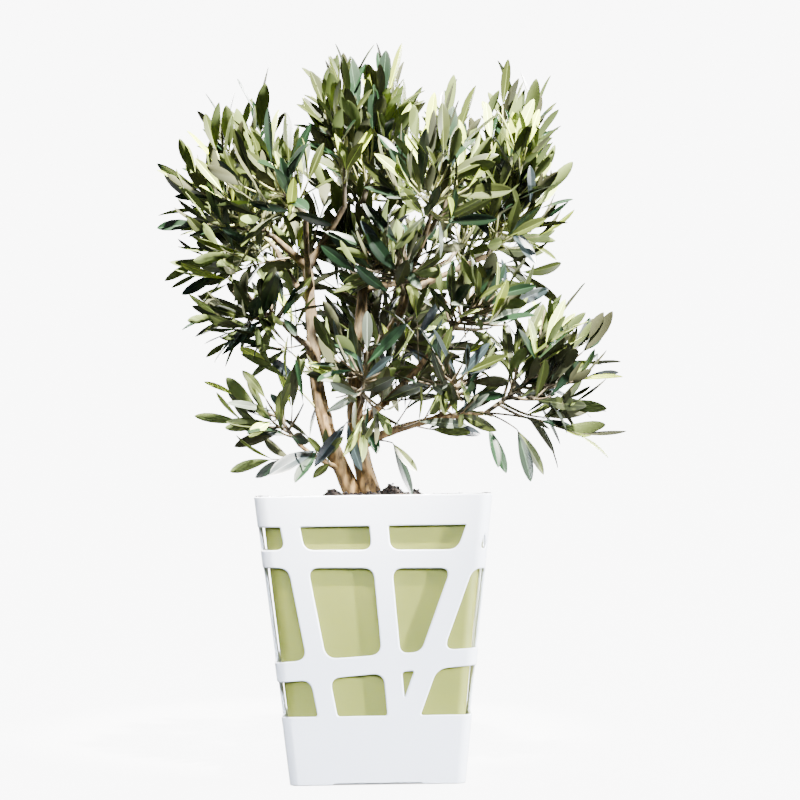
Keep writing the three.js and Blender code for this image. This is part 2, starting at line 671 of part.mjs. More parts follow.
// A mass of foliage: the stem and its shoots with their leaves, all fused. A leaf that would cut
// across what is there is turned round its shoot, or else skipped, as is a pinched shoot.
function mass(spec, index, taken) {
  const { root, heart, shoots, stemRadius } = shootsOf(spec, index);
  const stem = taperedBar(
    5, 1,
    (t) => root.clone().lerp(heart, t),
    () => heart.clone().sub(root).normalize(),
    (t) => lerp(stemRadius, SHOOT.foot, t),
  );
  for (const shoot of shoots) shoot.reached = reachedBy(shoot);
  const grown = shoots.filter((shoot) => shoot.reached * shoot.length >= SHOOT.least);
  const bare = grown.map((shoot) => shootSolid(shoot, []));
  let filled = wasm.Manifold.union([solidOf(stem), ...bare]);
  let made = solidOf(stem).subtract(taken);
  for (const shoot of grown) {
    const pairs = [];
    for (let node = nodesOn(shoot); node >= 0; node -= KEPT_NODES) {
      const leaves = [];
      for (const side of [0, 1]) {
        const past = lerp(PAST_SKIN[0], PAST_SKIN[1], chance(index, shoot.number * 40 + node, 6));
        for (let turn = 0; turn < TURNS; turn++) {
          const leaf = leafAt(index, shoot, node, side, turn);
          if (leaf.t > shoot.reached || !leafFits(index, leaf, past)) continue;
          const blade = bladeOf(leaf);
          if (!blade.intersect(filled).isEmpty()) continue;
          filled = filled.add(blade);
          leaves.push(leaf);
          break;
        }
      }
      if (leaves.length) pairs.unshift({ t: leaves[0].t, leaves });
    }
    const free = shootSolid(shoot, pairs).subtract(taken);
    const joined = largestBody(made.add(free)).simplify(SLIVER);
    if (!isPinched(joined)) made = joined;
  }
  return made;
}

const olive = new THREE.Group();
olive.name = "potted_olive_tree";
olive.add(meshOf("planter_cover", planter(), COLOURS.planter));
olive.add(meshOf("liner_pot", liner(), COLOURS.liner));
olive.add(meshOf("soil", soil(), COLOURS.soil));
olive.add(meshOf("trunk", trunk(), COLOURS.bark));
const { made, taken } = boughs();
for (const [name, solid] of made) olive.add(meshOf(`bough_${name}`, solid, COLOURS.bark));
Object.entries(MASSES).forEach(([name, spec], index) => {
  olive.add(meshOf(`foliage_${name}`, mass(spec, index, taken), COLOURS.foliage));
});

export default olive;
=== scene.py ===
"""The looks of a young olive tree in a square lattice planter.

Shapes are worked out in millimetres, with +Z up and the front along -Y, and put into meshes in
metres. The planter's wall is drawn unrolled and bent round the square, the limbs are tubes along
curves, and the twigs and leaves grow on from the boughs by one rule.
"""

import math

import bpy
import numpy as np
from bpy.props import FloatProperty, FloatVectorProperty, IntProperty, PointerProperty
from mathutils import Matrix, Vector
from mathutils.geometry import delaunay_2d_cdt


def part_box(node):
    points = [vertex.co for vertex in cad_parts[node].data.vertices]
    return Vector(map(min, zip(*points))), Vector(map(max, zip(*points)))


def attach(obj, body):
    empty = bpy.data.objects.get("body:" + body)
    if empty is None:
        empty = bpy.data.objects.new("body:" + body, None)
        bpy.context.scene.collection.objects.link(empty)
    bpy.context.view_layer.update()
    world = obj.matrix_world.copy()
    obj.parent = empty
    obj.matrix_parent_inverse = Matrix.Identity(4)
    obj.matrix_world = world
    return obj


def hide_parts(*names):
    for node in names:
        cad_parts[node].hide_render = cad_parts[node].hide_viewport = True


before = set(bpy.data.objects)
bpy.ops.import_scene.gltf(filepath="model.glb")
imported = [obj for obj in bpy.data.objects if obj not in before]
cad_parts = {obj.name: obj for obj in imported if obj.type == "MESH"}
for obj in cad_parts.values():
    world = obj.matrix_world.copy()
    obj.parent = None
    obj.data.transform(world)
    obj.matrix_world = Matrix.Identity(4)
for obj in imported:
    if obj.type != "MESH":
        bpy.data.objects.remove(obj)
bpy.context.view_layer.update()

bl_info = {
    "name": "Potted Olive Tree",
    "version": (1, 0, 0),
    "blender": (4, 5, 0),
    "location": "View3D > Sidebar > Olive",
    "description": "Makes a potted olive tree: lattice planter, soil, bark, twigs and leaves",
    "category": "Object",
}

MM = 0.001
UP = np.array([0.0, 0.0, 1.0])
TURN = 2 * math.pi


def linear(code):
    """An sRGB hex colour such as #8a9460 as linear red, green and blue."""
    parts = [int(code[i : i + 2], 16) / 255 for i in (1, 3, 5)]
    return tuple(c / 12.92 if c <= 0.04045 else ((c + 0.055) / 1.055) ** 2.4 for c in parts)


# The planter's lattice, as the solids have it

CORNER = 0.115  # corner radius as a share of the half width
WINDOW_TOP = 261
WINDOW_FOOT = 70
# the leaning bars: centre line at the windows' top and at their foot, and width
BARS = [(-83.6, -49.3, 20), (5.3, 20.3, 19), (104, 33, 22.5)]
# rows of windows: heights of the lower and of the upper edge at the left and right corner, and
# the corner radii below and above
ROWS = [
    ((238.5, 236), (WINDOW_TOP, WINDOW_TOP), (10, 1.5)),
    ((125, 137.5), (220.5, 217), (12, 11)),
    ((WINDOW_FOOT, WINDOW_FOOT), (104.5, 119.5), (3, 11)),
]
CROSSING_ROUND = (2, 3, 3)  # corner radii of the small triangle where two bars cross
NOTCH = {"half": 45, "depth": 9, "height": 1.6}  # in the middle of each side's foot
LINER = {"inset": 6.5, "wall": 2, "floor": 2.5, "below_rim": 4}
FLOOR = 3  # thickness of the cover's floor
CLEAR = 0.3  # the gap between pieces that stand on or in each other
GROUND = 295  # the height at which the stems start
SOIL_BELOW_RIM = 5
MOUND = {"x": -4, "y": -6, "radius": 62, "height": 9}
# lumps in the soil's surface: their spacing, their height and a seed
LUMPS = ((14, 1.3, 21), (6, 0.9, 22), (2.8, 0.6, 23))
# clods: x, y, height of the middle, and radius
CLODS = np.array([[19, -14, 297, 11], [-44, -20, 291, 8], [44, 22, 290, 9]], float)
# loose crumbs keep this margin from the planter's half width at this height
SCATTER = {"height": 285.0, "margin": 12}
HEAPED_EVERY = 3  # one crumb in so many lies in a heap over a clod
SPILLED_EVERY = 23  # and one in so many on the cover's rim

# The limbs and the spaces of the foliage, as the solids have them

STEMS = {
    "left_stem": dict(
        foot=(-23.5, -2, GROUND), tip=(-68, 0, 538), radii=(8.8, 5.4),
        bow=(-14, -4, 0), sway=(-3, 0, 0), flare=1.2,
    ),
    "right_stem": dict(
        foot=(-4.5, -4, GROUND), tip=(-8, 14, 548), radii=(9.8, 4.8),
        bow=(-12, 6, 0), sway=(-4, 0, 0), flare=1.4,
    ),
}
# name: parent, share of the parent's length, tip, radii at foot and tip, bow
BOUGHS = {
    "left_outer": ("left_stem", 0.99, (-103, -12, 566), (4, 3), (0, 0, 0)),
    "top_left": ("left_stem", 0.98, (-27, -14, 597), (3.8, 2.8), (0, 0, 0)),
    "left_mid": ("left_stem", 0.63, (-94, -13, 474), (3.4, 2.5), (0, 0, -3)),
    "left_low": ("left_stem", 0.1, (-78, -22, 346), (2.8, 2.1), (0, -5, -3)),
    "right_low": ("right_stem", 0.2, (118, -16, 376), (4.8, 2.6), (0, -4, 7)),
    "right_inner": ("right_low", 0.6, (86, -42, 392), (2.6, 2), (0, -2, -3)),
    "right_mid": ("right_stem", 0.27, (76, -20, 456), (4.4, 2.7), (2, -4, -3)),
    "centre_low": ("right_stem", 0.31, (-10, -34, 390), (3, 2.2), (0, -3, -3)),
    "crown": ("right_stem", 0.52, (40, -4, 543), (5.2, 4.6), (16, 0, -6)),
    "top_centre": ("crown", 0.98, (-8, -10, 601), (4.2, 3.2), (0, 0, 0)),
    "top_right": ("crown", 0.98, (79, -8, 592), (4.2, 3), (0, 0, 0)),
    "right_outer": ("crown", 0.72, (124, 8, 545), (3.8, 2.8), (0, 0, 0)),
    "front_left": ("left_stem", 0.9, (-66, -72, 582), (3.4, 2.5), (0, -6, -6)),
    "front_right": ("crown", 0.86, (62, -76, 574), (3.4, 2.5), (0, -6, -6)),
    "heart": ("right_stem", 0.78, (-14, 44, 520), (3, 2.2), (0, 3, -4)),
    "centre_high": ("crown", 0.4, (34, -38, 502), (3, 2.2), (0, -3, -3)),
    "back_left": ("left_stem", 0.84, (-104, 74, 562), (3.8, 2.7), (0, 6, -6)),
    "back_top": ("right_stem", 0.98, (-4, 86, 604), (4, 2.8), (0, 0, 0)),
    "back_right": ("right_stem", 0.86, (84, 84, 548), (3.8, 2.7), (0, 6, -6)),
    "back_low": ("right_stem", 0.5, (6, 62, 455), (3.4, 2.6), (0, 3, -5)),
}
# bark: how far apart furrows are round a limb, the lengths of furrows, of finer ones between them
# and of the cracks across them, the distance between knots, and the length of a limb's round end
BARK = {"apart": 3.2, "furrow": 26, "fine": 7, "crack": 2.6, "knots": 38, "end": 2.5}
# name: centre, reach, number of shoots, lift, and the mix of leaf kinds
MASSES = {
    "left_outer": ((-143, -20, 591), (80, 78, 130), 12, 0.16, "sunny"),
    "top_left": ((-25, -34, 676), (44, 62, 86), 9, 0.16, "sunny"),
    "left_mid": ((-120, -24, 490), (78, 66, 64), 9, 0.1, "shaded"),
    "left_low": ((-102, -30, 380), (80, 56, 52), 7, 0.08, "sparse"),
    "right_low": ((182, -22, 420), (84, 64, 100), 11, 0.14, "low"),
    "right_inner": ((82, -58, 410), (76, 64, 48), 8, 0.04, "dusty"),
    "right_mid": ((112, -42, 490), (78, 62, 66), 9, 0.1, "shaded"),
    "centre_low": ((-8, -60, 420), (80, 58, 86), 9, 0.06, "dusty"),
    "top_centre": ((15, -26, 675), (42, 62, 84), 8, 0.16, "sunny"),
    "top_right": ((84, -22, 638), (58, 66, 84), 8, 0.16, "sunny"),
    "right_outer": ((151, -4, 604), (62, 80, 142), 13, 0.16, "sunny"),
    "front_left": ((-92, -112, 602), (70, 56, 70), 7, 0.14, "sunny"),
    "front_right": ((66, -116, 600), (76, 54, 80), 8, 0.16, "sunny"),
    "heart": ((-6, 66, 556), (92, 66, 80), 9, 0.08, "shaded"),
    "centre_high": ((26, -66, 532), (74, 54, 66), 7, 0.06, "shaded"),
    "back_left": ((-124, 104, 586), (80, 78, 98), 9, 0.18, "sunny"),
    "back_top": ((-2, 112, 648), (80, 80, 88), 8, 0.18, "sunny"),
    "back_right": ((116, 102, 588), (82, 78, 112), 9, 0.2, "sunny"),
    "back_low": ((6, 104, 478), (108, 80, 92), 10, 0.12, "shaded"),
}
MASS_NAMES = list(MASSES)
CENTRES = np.array([m[0] for m in MASSES.values()], float)
REACHES = np.array([m[1] for m in MASSES.values()], float)
WEIGHTS = REACHES.mean(1) ** 2

GOLDEN_ANGLE = math.pi * (3 - math.sqrt(5))
STEM_SHARE = 0.85  # of the way from a bough's tip to its mass's centre, which the stem runs on
FAN = math.radians(140)  # how far from the stem's way the shoots spread
SHORT_OF_SKIN = 42  # shoots end so far inside a mass's skin, to leave room for their leaves
PAST_SKIN = 12  # how far a leaf may stand out of it
LEAST_SHOOT = 24  # anything shorter is left out
# finer shoots for each of the solids', and how much they turn upwards
FINER = {"sunny": 0.7, "shaded": 1.3, "low": 0.5, "dusty": 0.9, "sparse": 0.0}
RISE = {
    "sunny": 0.5, "shaded": 0.15, "low": 0.3, "dusty": 0.0, "sparse": 0.15, "fresh": 0.5,
    "hanging": -2.2,
}
# boughs with twigs along them
LEAFY_BOUGHS = (
    "left_mid", "left_low", "right_low", "right_inner", "right_mid", "centre_low",
    "heart", "back_left", "back_top", "back_right", "back_low",
)
SIDE_GAP = 12  # between two side twigs on a leafy bough
SAG = 8  # how far such a twig may end below its foot
# ranks of twigs: the radii at foot and tip, the bare share of the length and the leaves' scale
SHOOT = {"radii": (1.9, 0.85), "bare": 0.14, "scale": 1.0}
SIDE_SHOOT = {"radii": (1.15, 0.65), "bare": 0.3, "scale": 0.86}
BOUGH_TWIG = {"radii": (1.1, 0.6), "bare": 0.35, "scale": 0.9}
SPRIG = {"radii": (1.3, 0.7), "bare": 0.4, "scale": 1.0}
HANGING_SPRIG = {"radii": (1.3, 0.7), "bare": 0.7, "scale": 1.18}
SIDE_SHOOTS = (0.16, 0.82)  # the stretch of a shoot where side shoots start
LEAST_SIDE_SHOOT = 16
LEAF_LEAN = (62, 26)  # degrees between a leaf and its shoot, at the shoot's foot and at its tip
HANGING_FACE = np.array([0.1, -1.6, 0.3])  # the way that hanging leaves turn their upper side
# single twigs that stand or hang apart: the limb, the share of its length, the tip and the mix
SPRIGS = (
    ("left_stem", 0.33, (-104, -24, 426), "fresh"),
    ("left_stem", 0.5, (-98, -30, 452), "fresh"),
    ("left_low", 0.3, (-58, -26, 340), "hanging"),
    ("right_stem", 0.27, (-27, -40, 368), "hanging"),
    ("right_stem", 0.24, (-10, -42, 366), "hanging"),
    ("right_low", 0.06, (20, -24, 346), "hanging"),
    ("right_low", 0.9, (120, -26, 362), "hanging"),
    ("right_low", 1.0, (150, -30, 358), "hanging"),
    ("right_low", 1.0, (214, -24, 352), "sparse"),
    ("left_outer", 1.0, (-178, -30, 612), "sparse"),
    ("left_outer", 0.9, (-176, -24, 579), "sparse"),
    ("left_outer", 0.3, (-152, -26, 523), "sparse"),
    ("left_outer", 1.0, (-116, -20, 690), "sunny"),
    ("right_outer", 1.0, (163, -6, 676), "sunny"),
    ("right_outer", 1.0, (178, -10, 577), "sunny"),
    ("right_outer", 0.9, (160, 20, 528), "shaded"),
    ("right_mid", 0.9, (122, -10, 438), "shaded"),
    ("left_stem", 0.97, (-52, 64, 606), "shaded"),
    ("left_stem", 0.9, (-86, 56, 560), "shaded"),
    ("crown", 0.9, (64, 52, 556), "shaded"),
)
CELL_GAP = 0.6  # kept free on each side of the border between two masses
TIP_SLACK = 900  # how far past it a leaf's tip may lie, in the square millimetres of a pull

LEAF_KINDS = ("olive", "pale", "dark", "blue", "dusty", "young")
OLD_AND_SHADED_KINDS = ("dark", "blue", "dusty")  # their under sides are browner and darker, partly the real colour of old leaves and partly painted shade
RIB_TONE, PAINTED_SHADE_TONE = 2.3, 0.6  # of the midrib, and of the upper sides in painted shade, against the colour
STALK = 0.05  # the share of a leaf that is stalk
STALK_HALF, TIP_HALF = 0.45, 0.12  # half widths of a leaf's stalk and of its last point
LEAF_ROWS = np.array([0.0, 0.06, 0.16, 0.33, 0.5, 0.67, 0.82, 0.93, 0.98, 1.0])  # along a leaf
# how often each kind of leaf turns up in a mix
MIXES = {
    "sunny": (0.46, 0.17, 0.25, 0.02, 0.0, 0.10),
    "shaded": (0.34, 0.12, 0.34, 0.12, 0.04, 0.04),
    "low": (0.36, 0.18, 0.18, 0.14, 0.08, 0.06),
    "dusty": (0.30, 0.10, 0.30, 0.12, 0.16, 0.02),
    "sparse": (0.32, 0.16, 0.22, 0.08, 0.08, 0.14),
    "fresh": (0.20, 0.20, 0.05, 0.0, 0.0, 0.55),
    "hanging": (0.34, 0.02, 0.40, 0.14, 0.10, 0.0),
    # mostly dark leaves near the shoots' feet inside the crown: partly real age, partly painted
    # shade
    "old": (0.36, 0.02, 0.44, 0.10, 0.08, 0.0),
}

STEM_MESH = (44, 190, -0.018)  # points round a stem, rings along it, and the share it starts at
BOUGH_MESH = (18, 48, 0.0)
PLASTIC_CREASE = 50  # degrees past which an edge of the planter stays sharp
LEAF_CREASE = 60

# The stage: lengths of the floor in millimetres, and the lights in metres

BACKDROP = {"half": 6000, "front": 6000, "back": 1500, "bend": 1500, "top": 5000}
# softboxes, all aimed at the middle of the plant: the setting for the power, width and place
SOFTBOXES = (
    ("key_softbox", "key_power", 0.15, (3.0, -1.0, 0.6)),
    ("front_softbox", "front_power", 0.9, (-0.9, -3.0, 1.7)),
    ("left_reflector", "left_power", 1.4, (-2.5, -0.6, 0.8)),
    ("back_softbox_left", "back_power", 1.0, (-1.9, 2.3, 2.0)),
    ("back_softbox_right", "back_power", 1.0, (1.9, 2.3, 2.0)),
)
# spots: the setting for the power, radius, cone in degrees, its soft share, colour, place, target
SPOTS = (
    ("crown_spot", "crown_power", 0.06, 11.6, 0.25, "#fff8ee", (0.4, -1.35, 3.1), (0.02, 0, 0.69)),
    ("planter_spot", "planter_power", 0.3, 14, 0.5, "#eef4ff", (0.1, -2.2, 1.0), (0, -0.1, 0.07)),
)


def unit(v):
    """Each row of v scaled to length 1."""
    return v / np.maximum(np.linalg.norm(v, axis=-1, keepdims=True), 1e-9)


def chance(a, b=0.0, c=0.0):
    """A repeatable number from 0 to 1 for each set of whole numbers: what a large multiple of the
    sine of their weighted sum has after its point."""
    x = np.sin(np.asarray(a) * 127.1 + b * 311.7 + c * 74.7 + 11.3) * 43758.5453
    return x - np.floor(x)


def ripple(x, y, seed, wrap=None):
    """Smooth noise from -1 to 1: chance at the corners of a unit grid, blended between them by
    3f² - 2f³ each way. wrap joins x = wrap to x = 0."""
    x0, y0 = np.floor(x), np.floor(y)
    fx, fy = x - x0, y - y0
    sx, sy = fx * fx * (3 - 2 * fx), fy * fy * (3 - 2 * fy)
    x1 = x0 + 1
    if wrap:
        x0, x1 = x0 % wrap, x1 % wrap
    low = chance(x0, y0, seed) * (1 - sx) + chance(x1, y0, seed) * sx
    high = chance(x0, y0 + 1, seed) * (1 - sx) + chance(x1, y0 + 1, seed) * sx
    return 2 * (low * (1 - sy) + high * sy) - 1


# Meshes and materials


def piece(name, points, groups, materials, replaced=(), indices=None):
    """Puts points in millimetres and groups of faces, each an array with one row of corners for
    each face, into a new object that rides on the root and takes the place of the named nodes."""
    corners = np.concatenate([g.ravel() for g in groups]).astype(np.int32)
    totals = np.concatenate([np.full(len(g), g.shape[1]) for g in groups])
    mesh = bpy.data.meshes.new(name)
    mesh.vertices.add(len(points))
    mesh.vertices.foreach_set("co", (points * MM).astype(np.float32).ravel())
    mesh.loops.add(len(corners))
    mesh.loops.foreach_set("vertex_index", corners)
    mesh.polygons.add(len(totals))
    starts = np.concatenate([[0], np.cumsum(totals)[:-1]]).astype(np.int32)
    mesh.polygons.foreach_set("loop_start", starts)
    mesh.update(calc_edges=True)
    mesh.polygons.foreach_set("use_smooth", np.ones(len(totals), bool))
    for material in materials:
        mesh.materials.append(material)
    if indices is not None:
        mesh.polygons.foreach_set("material_index", indices.astype(np.int32))
    if mesh.validate():
        raise RuntimeError(f"{name} has faces that don't make a mesh")
    made = bpy.data.objects.new(name, mesh)
    bpy.context.scene.collection.objects.link(made)
    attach(made, "root")
    if replaced:
        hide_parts(*replaced)
    return made


def merged(points, groups):
    """Points that coincide within a hundredth of a millimetre made one, and faces that lose a
    corner by it dropped."""
    _, first, inverse = np.unique(
        np.round(points, 2), axis=0, return_index=True, return_inverse=True
    )
    inverse = inverse.ravel()
    kept = []
    for group in groups:
        group = inverse[group]
        whole = (group != np.roll(group, 1, axis=1)).all(1)
        kept.append(group[whole])
    return points[first], kept


def strips(rows, closed):
    """The faces between the rows of a grid of vertex numbers, each row joined to the next."""
    ahead = np.roll(rows, -1, axis=1)
    quads = np.stack([rows[:-1], ahead[:-1], ahead[1:], rows[1:]], axis=-1)
    return (quads if closed else quads[:, :-1]).reshape(-1, 4)


def lofted(loops):
    """A closed surface through loops of points, an array of rows by points by 3: its sides are the
    strips between rows, and a fan of triangles to its middle closes each end."""
    count, around = loops.shape[:2]
    rows = np.arange(count * around).reshape(count, around)
    ends = np.stack([loops[0].mean(0), loops[-1].mean(0)])
    first, last = count * around, count * around + 1
    low = np.stack([np.roll(rows[0], -1), rows[0], np.full(around, first)], 1)
    high = np.stack([rows[-1], np.roll(rows[-1], -1), np.full(around, last)], 1)
    points = np.concatenate([loops.reshape(-1, 3), ends])
    return points, [strips(rows, True), np.concatenate([low, high])]


def node(tree, kind, links=None, stops=(), **settings):
    """Adds one shader node, with settings by property or by input name, a ramp's stops as pairs of
    place and linear colour, and links to its inputs."""
    made = tree.nodes.new(kind)
    for name, value in settings.items():
        title = name.replace("_", " ").title()
        if hasattr(made, name):
            setattr(made, name, value)
        elif title in made.inputs:
            made.inputs[title].default_value = value
        else:
            made.inputs[name].default_value = value
    if stops:
        elements = made.color_ramp.elements
        while len(elements) < len(stops):
            elements.new(0.5)
        for element, (place, colour) in zip(elements, stops):
            element.position, element.color = place, (*colour, 1)
    for name, source in (links or {}).items():
        tree.links.new(source, made.inputs[name])
    return made


def new_material(name, **surface):
    """A material with only its surface shader and the shader's plain settings."""
    material = bpy.data.materials.new(name)
    material.use_nodes = True
    tree = material.node_tree
    shader = tree.nodes["Principled BSDF"]
    for key, value in surface.items():
        title = key.replace("_", " ").title().replace("Ior", "IOR")
        shader.inputs[title].default_value = value
    return material, tree, shader


def shade(colour, factor):
    """A linear colour made lighter or darker."""
    return tuple(min(1.0, c * factor) for c in colour)


def per_metre(size_mm):
    """The noise scale that gives features of a size in millimetres on Object coordinates."""
    return 1000 / size_mm


def moulded_plastic(name, colour, roughness, grain_mm, streak):
    """Injection-moulded polypropylene: a satin skin whose fine orange-peel grain softens the
    highlights, a little unevenness in gloss, and faint cloudiness along the flow. The real grain
    of some tenths of a millimetre is drawn as coarse as it needs to show."""
    material, tree, shader = new_material(name, roughness=roughness, ior=1.49)
    place = node(tree, "ShaderNodeTexCoord").outputs["Object"]
    cloud = node(tree, "ShaderNodeTexNoise", {"Vector": place}, scale=per_metre(60), detail=3.0)
    tinted = node(
        tree, "ShaderNodeValToRGB", {"Fac": cloud.outputs["Fac"]},
        stops=[(0.3, shade(colour, 1 - streak)), (0.7, shade(colour, 1 + streak))],
    )
    gloss = node(
        tree, "ShaderNodeMapRange", {"Value": cloud.outputs["Fac"]},
        to_min=roughness - 0.06, to_max=roughness + 0.08,
    )
    grain = node(
        tree, "ShaderNodeTexNoise", {"Vector": place}, scale=per_metre(grain_mm), detail=2.0
    )
    bump = node(
        tree, "ShaderNodeBump", {"Height": grain.outputs["Fac"]}, strength=0.12, distance=0.0002
    )
    tree.links.new(tinted.outputs["Color"], shader.inputs["Base Color"])
    tree.links.new(gloss.outputs["Result"], shader.inputs["Roughness"])
    tree.links.new(bump.outputs["Normal"], shader.inputs["Normal"])
    return material


def liner_plastic(colour):
    """Tinted polypropylene, moulded with a thin wall: a pale yellow green that looks a little
    cloudy. Light spreads a little in it, so shadows on it are soft and not deep."""
    material = moulded_plastic("pale_green_polypropylene", colour, 0.5, 2.0, 0.05)
    shader = material.node_tree.nodes["Principled BSDF"]
    shader.inputs["Subsurface Weight"].default_value = 0.5
    shader.inputs["Subsurface Radius"].default_value = (1.0, 1.0, 0.6)
    shader.inputs["Subsurface Scale"].default_value = 0.004
    return material


def potting_soil(colour):
    """Damp peat and bark fines: nearly black with brown crumbs, no shine."""
    material, tree, shader = new_material("damp_potting_soil", roughness=0.95)
    place = node(tree, "ShaderNodeTexCoord").outputs["Object"]
    grains = node(tree, "ShaderNodeTexVoronoi", {"Vector": place}, scale=per_metre(2.2))
    patches = node(tree, "ShaderNodeTexNoise", {"Vector": place}, scale=per_metre(9), detail=5.0)
    mixed = node(
        tree, "ShaderNodeMath", {0: grains.outputs["Distance"], 1: patches.outputs["Fac"]},
        operation="MULTIPLY",
    ).outputs["Value"]
    tinted = node(
        tree, "ShaderNodeValToRGB", {"Fac": mixed},
        stops=[(0.05, shade(colour, 0.45)), (0.28, colour), (0.5, shade(colour, 5))],
    )
    bump = node(tree, "ShaderNodeBump", {"Height": mixed}, strength=0.8, distance=0.0012)
    tree.links.new(tinted.outputs["Color"], shader.inputs["Base Color"])
    tree.links.new(bump.outputs["Normal"], shader.inputs["Normal"])
    return material


def young_bark(light, dark):
    """Young olive bark: dry and matt, tan on the ridges and brown in the furrows, with grey
    patches. The warm tan of the thick foot gives way to the grey brown of the boughs."""
    material, tree, shader = new_material("young_olive_bark", roughness=0.88)
    place = node(tree, "ShaderNodeTexCoord").outputs["Object"]
    # height counts for less, so that the furrows run long
    upright = node(tree, "ShaderNodeMapping", {"Vector": place}, scale=(1, 1, 0.22))
    furrows = node(
        tree, "ShaderNodeTexNoise", {"Vector": upright.outputs["Vector"]},
        scale=per_metre(4), detail=6.0, roughness=0.65,
    ).outputs["Fac"]
    patches = node(tree, "ShaderNodeTexNoise", {"Vector": place}, scale=per_metre(22), detail=4.0)
    height = node(tree, "ShaderNodeSeparateXYZ", {0: place}).outputs["Z"]
    rise = node(tree, "ShaderNodeMapRange", {"Value": height}, from_min=0.3, from_max=0.46)
    white = (1, 1, 1)
    tan, grey, aged = [
        node(tree, "ShaderNodeValToRGB", {"Fac": source}, stops=stops).outputs["Color"]
        for source, stops in (
            (furrows, [(0.34, dark), (0.5, shade(light, 0.72)), (0.66, shade(light, 1.12))]),
            (patches.outputs["Fac"], [(0.45, white), (0.62, linear("#c9cbb8"))]),
            (rise.outputs["Result"], [(0.0, white), (1.0, linear("#a5adb2"))]),
        )
    ]
    # a Mix node has its colours at inputs 6 and 7 and at output 2
    for tint in (grey, aged):
        tan = node(
            tree, "ShaderNodeMix", {6: tan, 7: tint},
            data_type="RGBA", blend_type="MULTIPLY", factor=1.0,
        ).outputs[2]
    bump = node(tree, "ShaderNodeBump", {"Height": furrows}, strength=0.7, distance=0.0008)
    tree.links.new(tan, shader.inputs["Base Color"])
    tree.links.new(bump.outputs["Normal"], shader.inputs["Normal"])
    return material


def twig_bark(name, colour):
    """The bark of young wood: smooth and dull, and a little cloudy."""
    material, tree, shader = new_material(f"bark_of_{name}", roughness=0.7)
    place = node(tree, "ShaderNodeTexCoord").outputs["Object"]
    cloud = node(tree, "ShaderNodeTexNoise", {"Vector": place}, scale=per_metre(12), detail=3.0)
    tinted = node(
        tree, "ShaderNodeValToRGB", {"Fac": cloud.outputs["Fac"]},
        stops=[(0.35, shade(colour, 0.65)), (0.65, shade(colour, 1.2))],
    )
    tree.links.new(tinted.outputs["Color"], shader.inputs["Base Color"])
    return material


def leaf_surface(name, colour, roughness, ior=1.45):
    """A leaf's skin. The upper side is leathery, waxy and softly shining, the rib duller and the
    under side a dull felt of tiny scales."""
    return new_material(name, base_color=(*colour, 1), roughness=roughness, ior=ior)[0]


# The planter


def half_at(z, sizes):
    """The planter's half width at height z, a straight taper from foot to rim."""
    foot, top, rim = sizes.foot_width / 2 / MM, sizes.top_width / 2 / MM, sizes.rim_height / MM
    return foot + (top - foot) * z / rim


def round_square(w):
    """The front quarter of a square of half width 1 with round corners, at distance w along its
    outline from the middle: flat up to 1 - r, then an arc of radius r. Gives the point and the
    outward normal."""
    flat = 1 - CORNER
    arc = np.maximum(np.abs(w) - flat, 0) / CORNER
    side = np.sign(w)
    x = side * (np.minimum(np.abs(w), flat) + CORNER * np.sin(arc))
    y = -(flat + CORNER * np.cos(arc))
    return np.stack([x, y], -1), np.stack([side * np.sin(arc), -np.cos(arc)], -1)


QUARTER = 1 - CORNER + CORNER * math.pi / 4  # from the middle of a side to the middle of its corner
DIAGONAL = 1 - CORNER + CORNER * math.sin(math.pi / 4)  # how far across that is


def along_outline(across):
    """The distance along a quarter's outline, the other way round: from how far across it is."""
    flat = 1 - CORNER
    arc = np.arcsin(np.clip((np.abs(across) - flat) / CORNER, 0, 1))
    return np.sign(across) * (np.minimum(np.abs(across), flat) + CORNER * arc)


def wall_point(w, z, depth, quarter, sizes):
    """A point of the wall: the quarter's outline scaled to the half width at z, moved in by depth
    along its normal, mirrored on every second side and turned by quarters."""
    outline, normal = round_square(w)
    flat = outline * half_at(z, sizes)[..., None] - normal * np.asarray(depth)[..., None]
    if quarter % 2:
        flat = flat * [-1, 1]
    turn = quarter * math.pi / 2
    x = flat[..., 0] * math.cos(turn) - flat[..., 1] * math.sin(turn)
    y = flat[..., 0] * math.sin(turn) + flat[..., 1] * math.cos(turn)
    return np.stack([x, y, z + 0 * x], -1)


def bar_edge(bar, side):
    """The straight line x = a + b z through one edge of a leaning bar, as a and b."""
    top, foot, width = bar
    slope = (top - foot) / (WINDOW_TOP - WINDOW_FOOT)
    return foot + side * width / 2 - slope * WINDOW_FOOT, slope


def meeting(edge, heights, sizes):
    """Where a line x = a + b z meets the straight line between two heights at the wall's corners,
    found in four steps from the middle height."""
    z = sum(heights) / 2
    for _ in range(4):
        half = half_at(z, sizes)
        share = (edge[0] + edge[1] * z + half) / (2 * half)
        z = heights[0] + (heights[1] - heights[0]) * share
    return np.array([edge[0] + edge[1] * z, z])


def rounded(corners, radii, spacing=2.5):
    """A closed outline through corners, each corner rounded by a quadratic curve that starts its
    radius before it, no more than 0.4 of the shorter side, and straight parts cut into short
    lengths."""
    corners = np.array(corners)
    before, after = np.roll(corners, 1, 0) - corners, np.roll(corners, -1, 0) - corners
    sides = np.stack([np.linalg.norm(before, axis=1), np.linalg.norm(after, axis=1)])
    cut = np.minimum(radii, 0.4 * sides.min(0))[:, None]
    a, b = corners + unit(before) * cut, corners + unit(after) * cut
    t = np.linspace(0, 1, 8)[None, :, None]
    curves = (1 - t) ** 2 * a[:, None] + 2 * t * (1 - t) * corners[:, None] + t * t * b[:, None]
    parts = []
    for k, curve in enumerate(curves):
        ahead = a[(k + 1) % len(corners)]
        steps = max(int(np.linalg.norm(ahead - b[k]) / spacing), 1)
        straight = b[k] + (ahead - b[k]) * (np.arange(1, steps) / steps)[:, None]
        parts += [curve, straight]
    return np.concatenate(parts)


